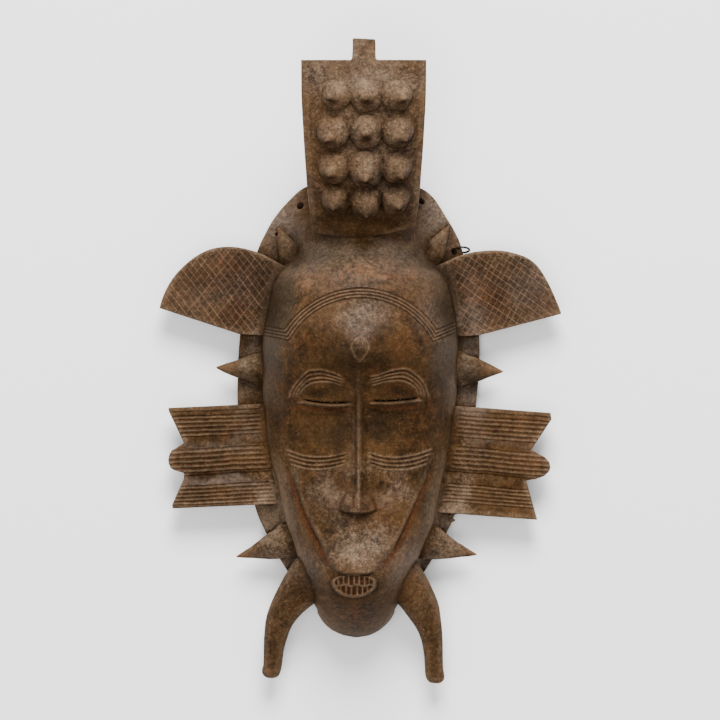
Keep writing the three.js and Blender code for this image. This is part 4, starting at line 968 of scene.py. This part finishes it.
def stainAndLightPieces(pieces):
    # proud and deep: how far a point of the relief stands above and lies below the blurred height map, up to 1; deep is
    # painted as shade in hollows;
    # the overhang: 1 where something lies over the point, painted as shade under it; and the soft patches, which aren't
    # on points under an overhang
    top = heightMap(pieces)
    fine, broad = (top - blurred(top, stainsAndPaintedLight[name] / stainsAndPaintedLight["cell"]) for name in ("fine", "broad"))
    for made in pieces:
        x, y, z = pointsOf(made).T
        seen = ease(1 - (sampled(top, x, y) - z - 1) / 4)
        small = sampled(fine, x, y) * seen / 0.6
        large = np.clip(sampled(broad, x, y), -12, 12) * seen
        valleys = stainsAndPaintedLight["crestValleys" if made is maskCrest else "valleys"] * 0.6
        values = {"proud": np.clip(small - 0.1, 0, 1) + np.clip(large / 8 - 0.1, 0, 0.3),
                  # painted shade: deep in hollows and creases, and the overhang under whatever lies over a point
                  "deep": valleys * np.clip(-small - 0.1, 0, 1) + np.clip(-large / 7 - 0.1, 0, 0.15),
                  "overhangShade": 1 - seen}
        x, y = x - originShift[0], y - originShift[1]
        wanderX, wanderY = (sum(width * noise(x, y, scale, seed + i) for width, scale, seed in stainsAndPaintedLight["wander"])
                            for i in (0, 1))
        for name in ("olive", "red", "ochre", "sheen", "sootAndShade"):
            share = stainsAndPaintedLight["onSpikes"].get(name, 1) if made is maskSpikes else 1
            values[name + "Patch"] = np.clip(spots(x + wanderX, y + wanderY, stainsAndPaintedLight[name]), 0, 1) * seen * share
        for name, value in values.items():
            keepValue(made.data, name, value)


print("wear and stains")
woodPieces = (maskFace, maskCrest, maskEars, maskCombs, maskSpikes)
stainAndLightPieces(woodPieces)


# ---- the wire loop in the rim

wire = {"at": (57.1, 61.5, 5.9), "radius": 4, "wire": 0.6, "tilt": 21, "rounds": 96, "sides": 12}


def wireGrid():
    # a ring: (R + r cos b) round a circle that leans by 90 degrees less the tilt; it closes on itself, so has no ends
    a, b = fullTurn(wire["rounds"])[:, None], fullTurn(wire["sides"])[None]
    lean = math.radians(90 - wire["tilt"])
    ring = wire["radius"] + wire["wire"] * np.cos(b)
    x, y, z = ring * np.cos(a), ring * np.sin(a), wire["wire"] * np.sin(b)
    points = stacked(x, y * math.cos(lean) - z * math.sin(lean), y * math.sin(lean) + z * math.cos(lean))
    shape = loft(np.array(wire["at"]) + points)
    last = np.arange(wire["sides"]) + (wire["rounds"] - 1) * wire["sides"]
    first = np.arange(wire["sides"])
    closing = np.stack([last, np.roll(last, -1), np.roll(first, -1), first], -1)
    return {**shape, "quads": np.vstack([shape["quads"], closing]), "caps": []}


rimWire = newObject("rimWire", wireGrid())
smooth(rimWire)
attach(rimWire, "root")
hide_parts("rim_wire_loop")


# ---- materials

class Socket:
    # a shader value that adds its own Math node when it is used in an expression
    def __init__(self, finish, source):
        self.finish, self.source = finish, source

    def math(self, operation, first, second, clamp=False):
        return self.finish.node("ShaderNodeMath", {"operation": operation, "use_clamp": clamp}, [first, second])

    def __add__(self, other): return self.math("ADD", self, other)
    def __sub__(self, other): return self.math("SUBTRACT", self, other)
    def __mul__(self, other): return self.math("MULTIPLY", self, other)
    def __truediv__(self, other): return self.math("DIVIDE", self, other)
    def __rsub__(self, other): return self.math("SUBTRACT", other, self)
    def __rtruediv__(self, other): return self.math("DIVIDE", other, self)
    __radd__, __rmul__ = __add__, __mul__

    def limited(self): return self.math("ADD", self, 0.0, clamp=True)

    def rise(self, low, high):  # 0 below low, 1 above high
        return self.finish.node("ShaderNodeMapRange", {"interpolation_type": "SMOOTHSTEP"}, [self, low, high, 0.0, 1.0])


class Finish:
    # one material: node() adds any node by type, its settings and the values or links of its inputs
    def __init__(self, name):
        self.material = bpy.data.materials.new(name)
        self.material.use_nodes = True
        self.tree = self.material.node_tree
        self.tree.nodes.clear()
        output = self.tree.nodes.new("ShaderNodeOutputMaterial")
        self.shader = self.tree.nodes.new("ShaderNodeBsdfPrincipled")
        self.tree.links.new(self.shader.outputs[0], output.inputs[0])

    def node(self, kind, settings=None, inputs=(), out=0):
        made = self.tree.nodes.new(kind)
        for key, value in (settings or {}).items():
            setattr(made, key, value)
        for key, value in inputs.items() if isinstance(inputs, dict) else enumerate(inputs):
            self.feed(made.inputs[key], value)
        return Socket(self, made.outputs[out])

    def feed(self, target, value):  # a link for a Socket, and otherwise the value itself
        if isinstance(value, Socket):
            self.tree.links.new(value.source, target)
        else:
            target.default_value = value

    def surface(self, inputs):  # values or links of the shader's own inputs
        for name, value in inputs.items():
            self.feed(self.shader.inputs[name], value)

    def place(self):
        return self.node("ShaderNodeTexCoord", out="Object")

    def value(self, name):
        return self.node("ShaderNodeAttribute", {"attribute_name": name}, out="Fac")

    def speckle(self, where, scale, detail=3.0, roughness=0.55, stretch=(1, 1, 1)):
        spot = self.node("ShaderNodeMapping", {}, {"Vector": where, "Scale": stretch})
        inputs = {"Vector": spot, "Scale": scale, "Detail": detail, "Roughness": roughness}
        return self.node("ShaderNodeTexNoise", {}, inputs)

    def mix(self, factor, a, b, mode="MIX"):
        a, b = (c if isinstance(c, Socket) else (*c, 1.0) for c in (a, b))
        return self.node("ShaderNodeMix", {"data_type": "RGBA", "blend_type": mode, "clamp_factor": True},
                         {0: factor, 6: a, 7: b}, out=2)

    def cover(self, made):
        made.data.materials.clear()
        made.data.materials.append(self.material)


woodLook = {
    # colours; the worn and sheen tones also paint highlights, the dirt and soot tones also paint shade
    "dark": (0.017, 0.0078, 0.0025), "mid": (0.052, 0.0245, 0.008), "olive": (0.036, 0.0262, 0.0152),
    "red": (0.064, 0.0215, 0.0078), "wornAndHighlight": (0.15, 0.096, 0.059), "ochre": (0.14, 0.095, 0.06),
    "sheen": (0.125, 0.093, 0.076), "dirt": (0.009, 0.0045, 0.0018), "sootAndShade": (0.013, 0.0072, 0.003),
    # specks and grain: how fine, their detail and their roughness
    "specks": {"broad": (30, 4, 0.6), "blotch": (170, 5, 0.65), "fleck": (480, 4, 0.7), "grit": (1150, 3, 0.75),
               "rust": (900, 3, 0.7), "grain": (420, 5, 0.6, (1, 0.09, 0.5))},
    # tints that the finest specks multiply in, with their strength
    "rusty": (1.35, 0.92, 0.8), "rust": 0.32, "mossy": (0.85, 1.05, 0.95), "moss": 0.6,
    "bump": 0.7, "depth": 0.0008, "specular": 0.03,
}


def woodFinish():
    # dark to mid brown wood, then each stain, painted highlight and painted shade laid over the one before it, its edge
    # broken by specks of several sizes
    look = woodLook
    f = Finish("oldWood")
    where = f.place()
    wear, dirt, red = (f.value(name) for name in ("wear", "dirt", "red"))
    proud, deep, overhangShade = (f.value(name) for name in ("proud", "deep", "overhangShade"))
    olivePatch, redPatch, ochrePatch, paintedSheenPatch, sootAndShadePatch = (
        f.value(name + "Patch") for name in ("olive", "red", "ochre", "sheen", "sootAndShade"))
    broad, blotch, fleck, grit, rust, grain = (
        f.speckle(where, *look["specks"][name]) for name in ("broad", "blotch", "fleck", "grit", "rust", "grain"))
    patchy = (blotch * 0.35 + fleck * 0.65) - 0.5
    dust = (grit * 0.6 + fleck * 0.4).rise(0.55, 0.68) * (0.25 + ochrePatch * 0.5 + proud * 0.3)
    stainsAndLightOver = (
        (grain.rise(0.5, 0.72) * 0.35, "dark"),
        ((olivePatch + patchy * 1.6).rise(0.2, 0.9) * 0.8, "olive"),
        # painted highlights and painted light
        ((paintedSheenPatch * (0.7 + patchy * 1.6)).limited(), "sheen"),
        # ochre, with painted light on shaded plate edges and walls
        ((ochrePatch + patchy * 1.8 + (grit - 0.5) * 0.9).rise(0.1, 1.2) * 0.8, "ochre"),
        (((redPatch + red + patchy * 1.5).rise(0.2, 0.95) * 0.75).limited(), "red"),
        # wear, with painted highlights on the bosses' upper sides, the nose and the lower head's wall
        (((wear * 0.8 + proud * 0.28) * (0.35 + blotch * 0.5 + fleck * 0.5)).limited() * 0.75, "wornAndHighlight"),
        # soot, with painted shade under the crest and above the brows
        ((sootAndShadePatch * 0.8 + patchy * 0.5).limited(), "sootAndShade"),
        # dirt, with painted shade in hollows, under overhangs and ledges, beside the nose and under the bosses' thorns
        ((dirt * 0.8 + deep * 0.65 + overhangShade * 0.4).limited() * (0.75 + fleck * 0.3), "dirt"),
        (dust.limited() * 0.6, "ochre"))
    colour = f.mix((broad * 0.7 + blotch * 0.3).rise(0.36, 0.62), look["dark"], look["mid"])
    for share, stain in stainsAndLightOver:
        colour = f.mix(share, colour, look[stain])
    colour = f.mix(rust.rise(0.5, 0.62) * look["rust"], colour, look["rusty"], "MULTIPLY")
    colour = f.mix((1 - rust.rise(0.4, 0.5)) * look["moss"], colour, look["mossy"], "MULTIPLY")
    brightness = 0.42 + grit.rise(0.3, 0.7) * 0.5 + fleck.rise(0.32, 0.68) * 0.45 + blotch.rise(0.34, 0.66) * 0.2
    roughness = (0.36 + blotch * 0.25 + deep * 0.2 + dirt * 0.2 + ochrePatch * 0.12 + grit * 0.12).limited()
    height = grain * 0.35 + blotch * 0.9 + fleck * 0.45 + grit * 0.3
    tone = f.node("ShaderNodeHueSaturation", {}, {"Color": colour, "Value": brightness})
    bump = f.node("ShaderNodeBump", {}, {"Strength": look["bump"], "Distance": look["depth"], "Height": height})
    f.surface({"Base Color": tone, "Roughness": roughness, "Normal": bump, "Specular IOR Level": look["specular"]})
    return f


wood = woodFinish()
for made in woodPieces:
    wood.cover(made)

wireLook = {"black": (0.012, 0.011, 0.011), "brown": (0.05, 0.035, 0.025), "metallic": 0.7, "roughness": 0.45}
blackWire = Finish("blackWire")
specks = blackWire.speckle(blackWire.place(), 900).rise(0.4, 0.7)
blackWire.surface({"Base Color": blackWire.mix(specks, wireLook["black"], wireLook["brown"]),
                   "Metallic": wireLook["metallic"], "Roughness": wireLook["roughness"]})
blackWire.cover(rimWire)
print("materials made")


# ---- floor, light and camera

studio = {
    "floor": (0.9, 0.9, 0.9), "floorRoughness": 0.9, "floorSize": 3.0, "floorZ": -0.0004,
    # camera distance, width that it sees at the floor and its film width
    "distance": 3.0, "width": 0.4032, "film": 36,
    # lamps: place, width and brightness; the spot that both point at; brightness of the sky
    "key": ((0.06, 1.2, 1.45), 0.95, 78.0), "fill": ((-0.25, -0.35, 2.3), 1.3, 34.0), "aim": (0, 0, 0.03), "sky": 0.85,
}

floorMesh = bpy.data.meshes.new("floor")
size, low = studio["floorSize"], studio["floorZ"]
floorCorners = [(x * size, y * size, low) for x, y in ((-1, -1), (1, -1), (1, 1), (-1, 1))]
floorMesh.from_pydata(floorCorners, [], [(0, 1, 2, 3)])
floor = addObject("floor", floorMesh)
paleFloor = Finish("paleFloor")
paleFloor.surface({"Base Color": (*studio["floor"], 1), "Roughness": studio["floorRoughness"]})
paleFloor.cover(floor)


def softLight(name, where, size, power):
    lamp = bpy.data.lights.new(name, "AREA")
    lamp.shape, lamp.size, lamp.energy = "DISK", size, power
    made = addObject(name, lamp)
    made.location = where
    made.rotation_euler = (Vector(studio["aim"]) - Vector(where)).to_track_quat("-Z", "Y").to_euler()


for name in ("key", "fill"):
    softLight(name, *studio[name])
world = bpy.data.worlds.new("softSky")
world.use_nodes = True
sky = world.node_tree.nodes["Background"].inputs
sky[0].default_value, sky[1].default_value = (1, 1, 1, 1), studio["sky"]
bpy.context.scene.world = world

lens = bpy.data.cameras.new("camera")
lens.sensor_width = studio["film"]
lens.lens = studio["film"] * studio["distance"] / studio["width"]
lens.clip_end = 20
camera = addObject("camera", lens)
camera.location = (originShift[0] * 0.001, originShift[1] * 0.001, studio["distance"])
bpy.context.scene.camera = camera
print("studio ready")
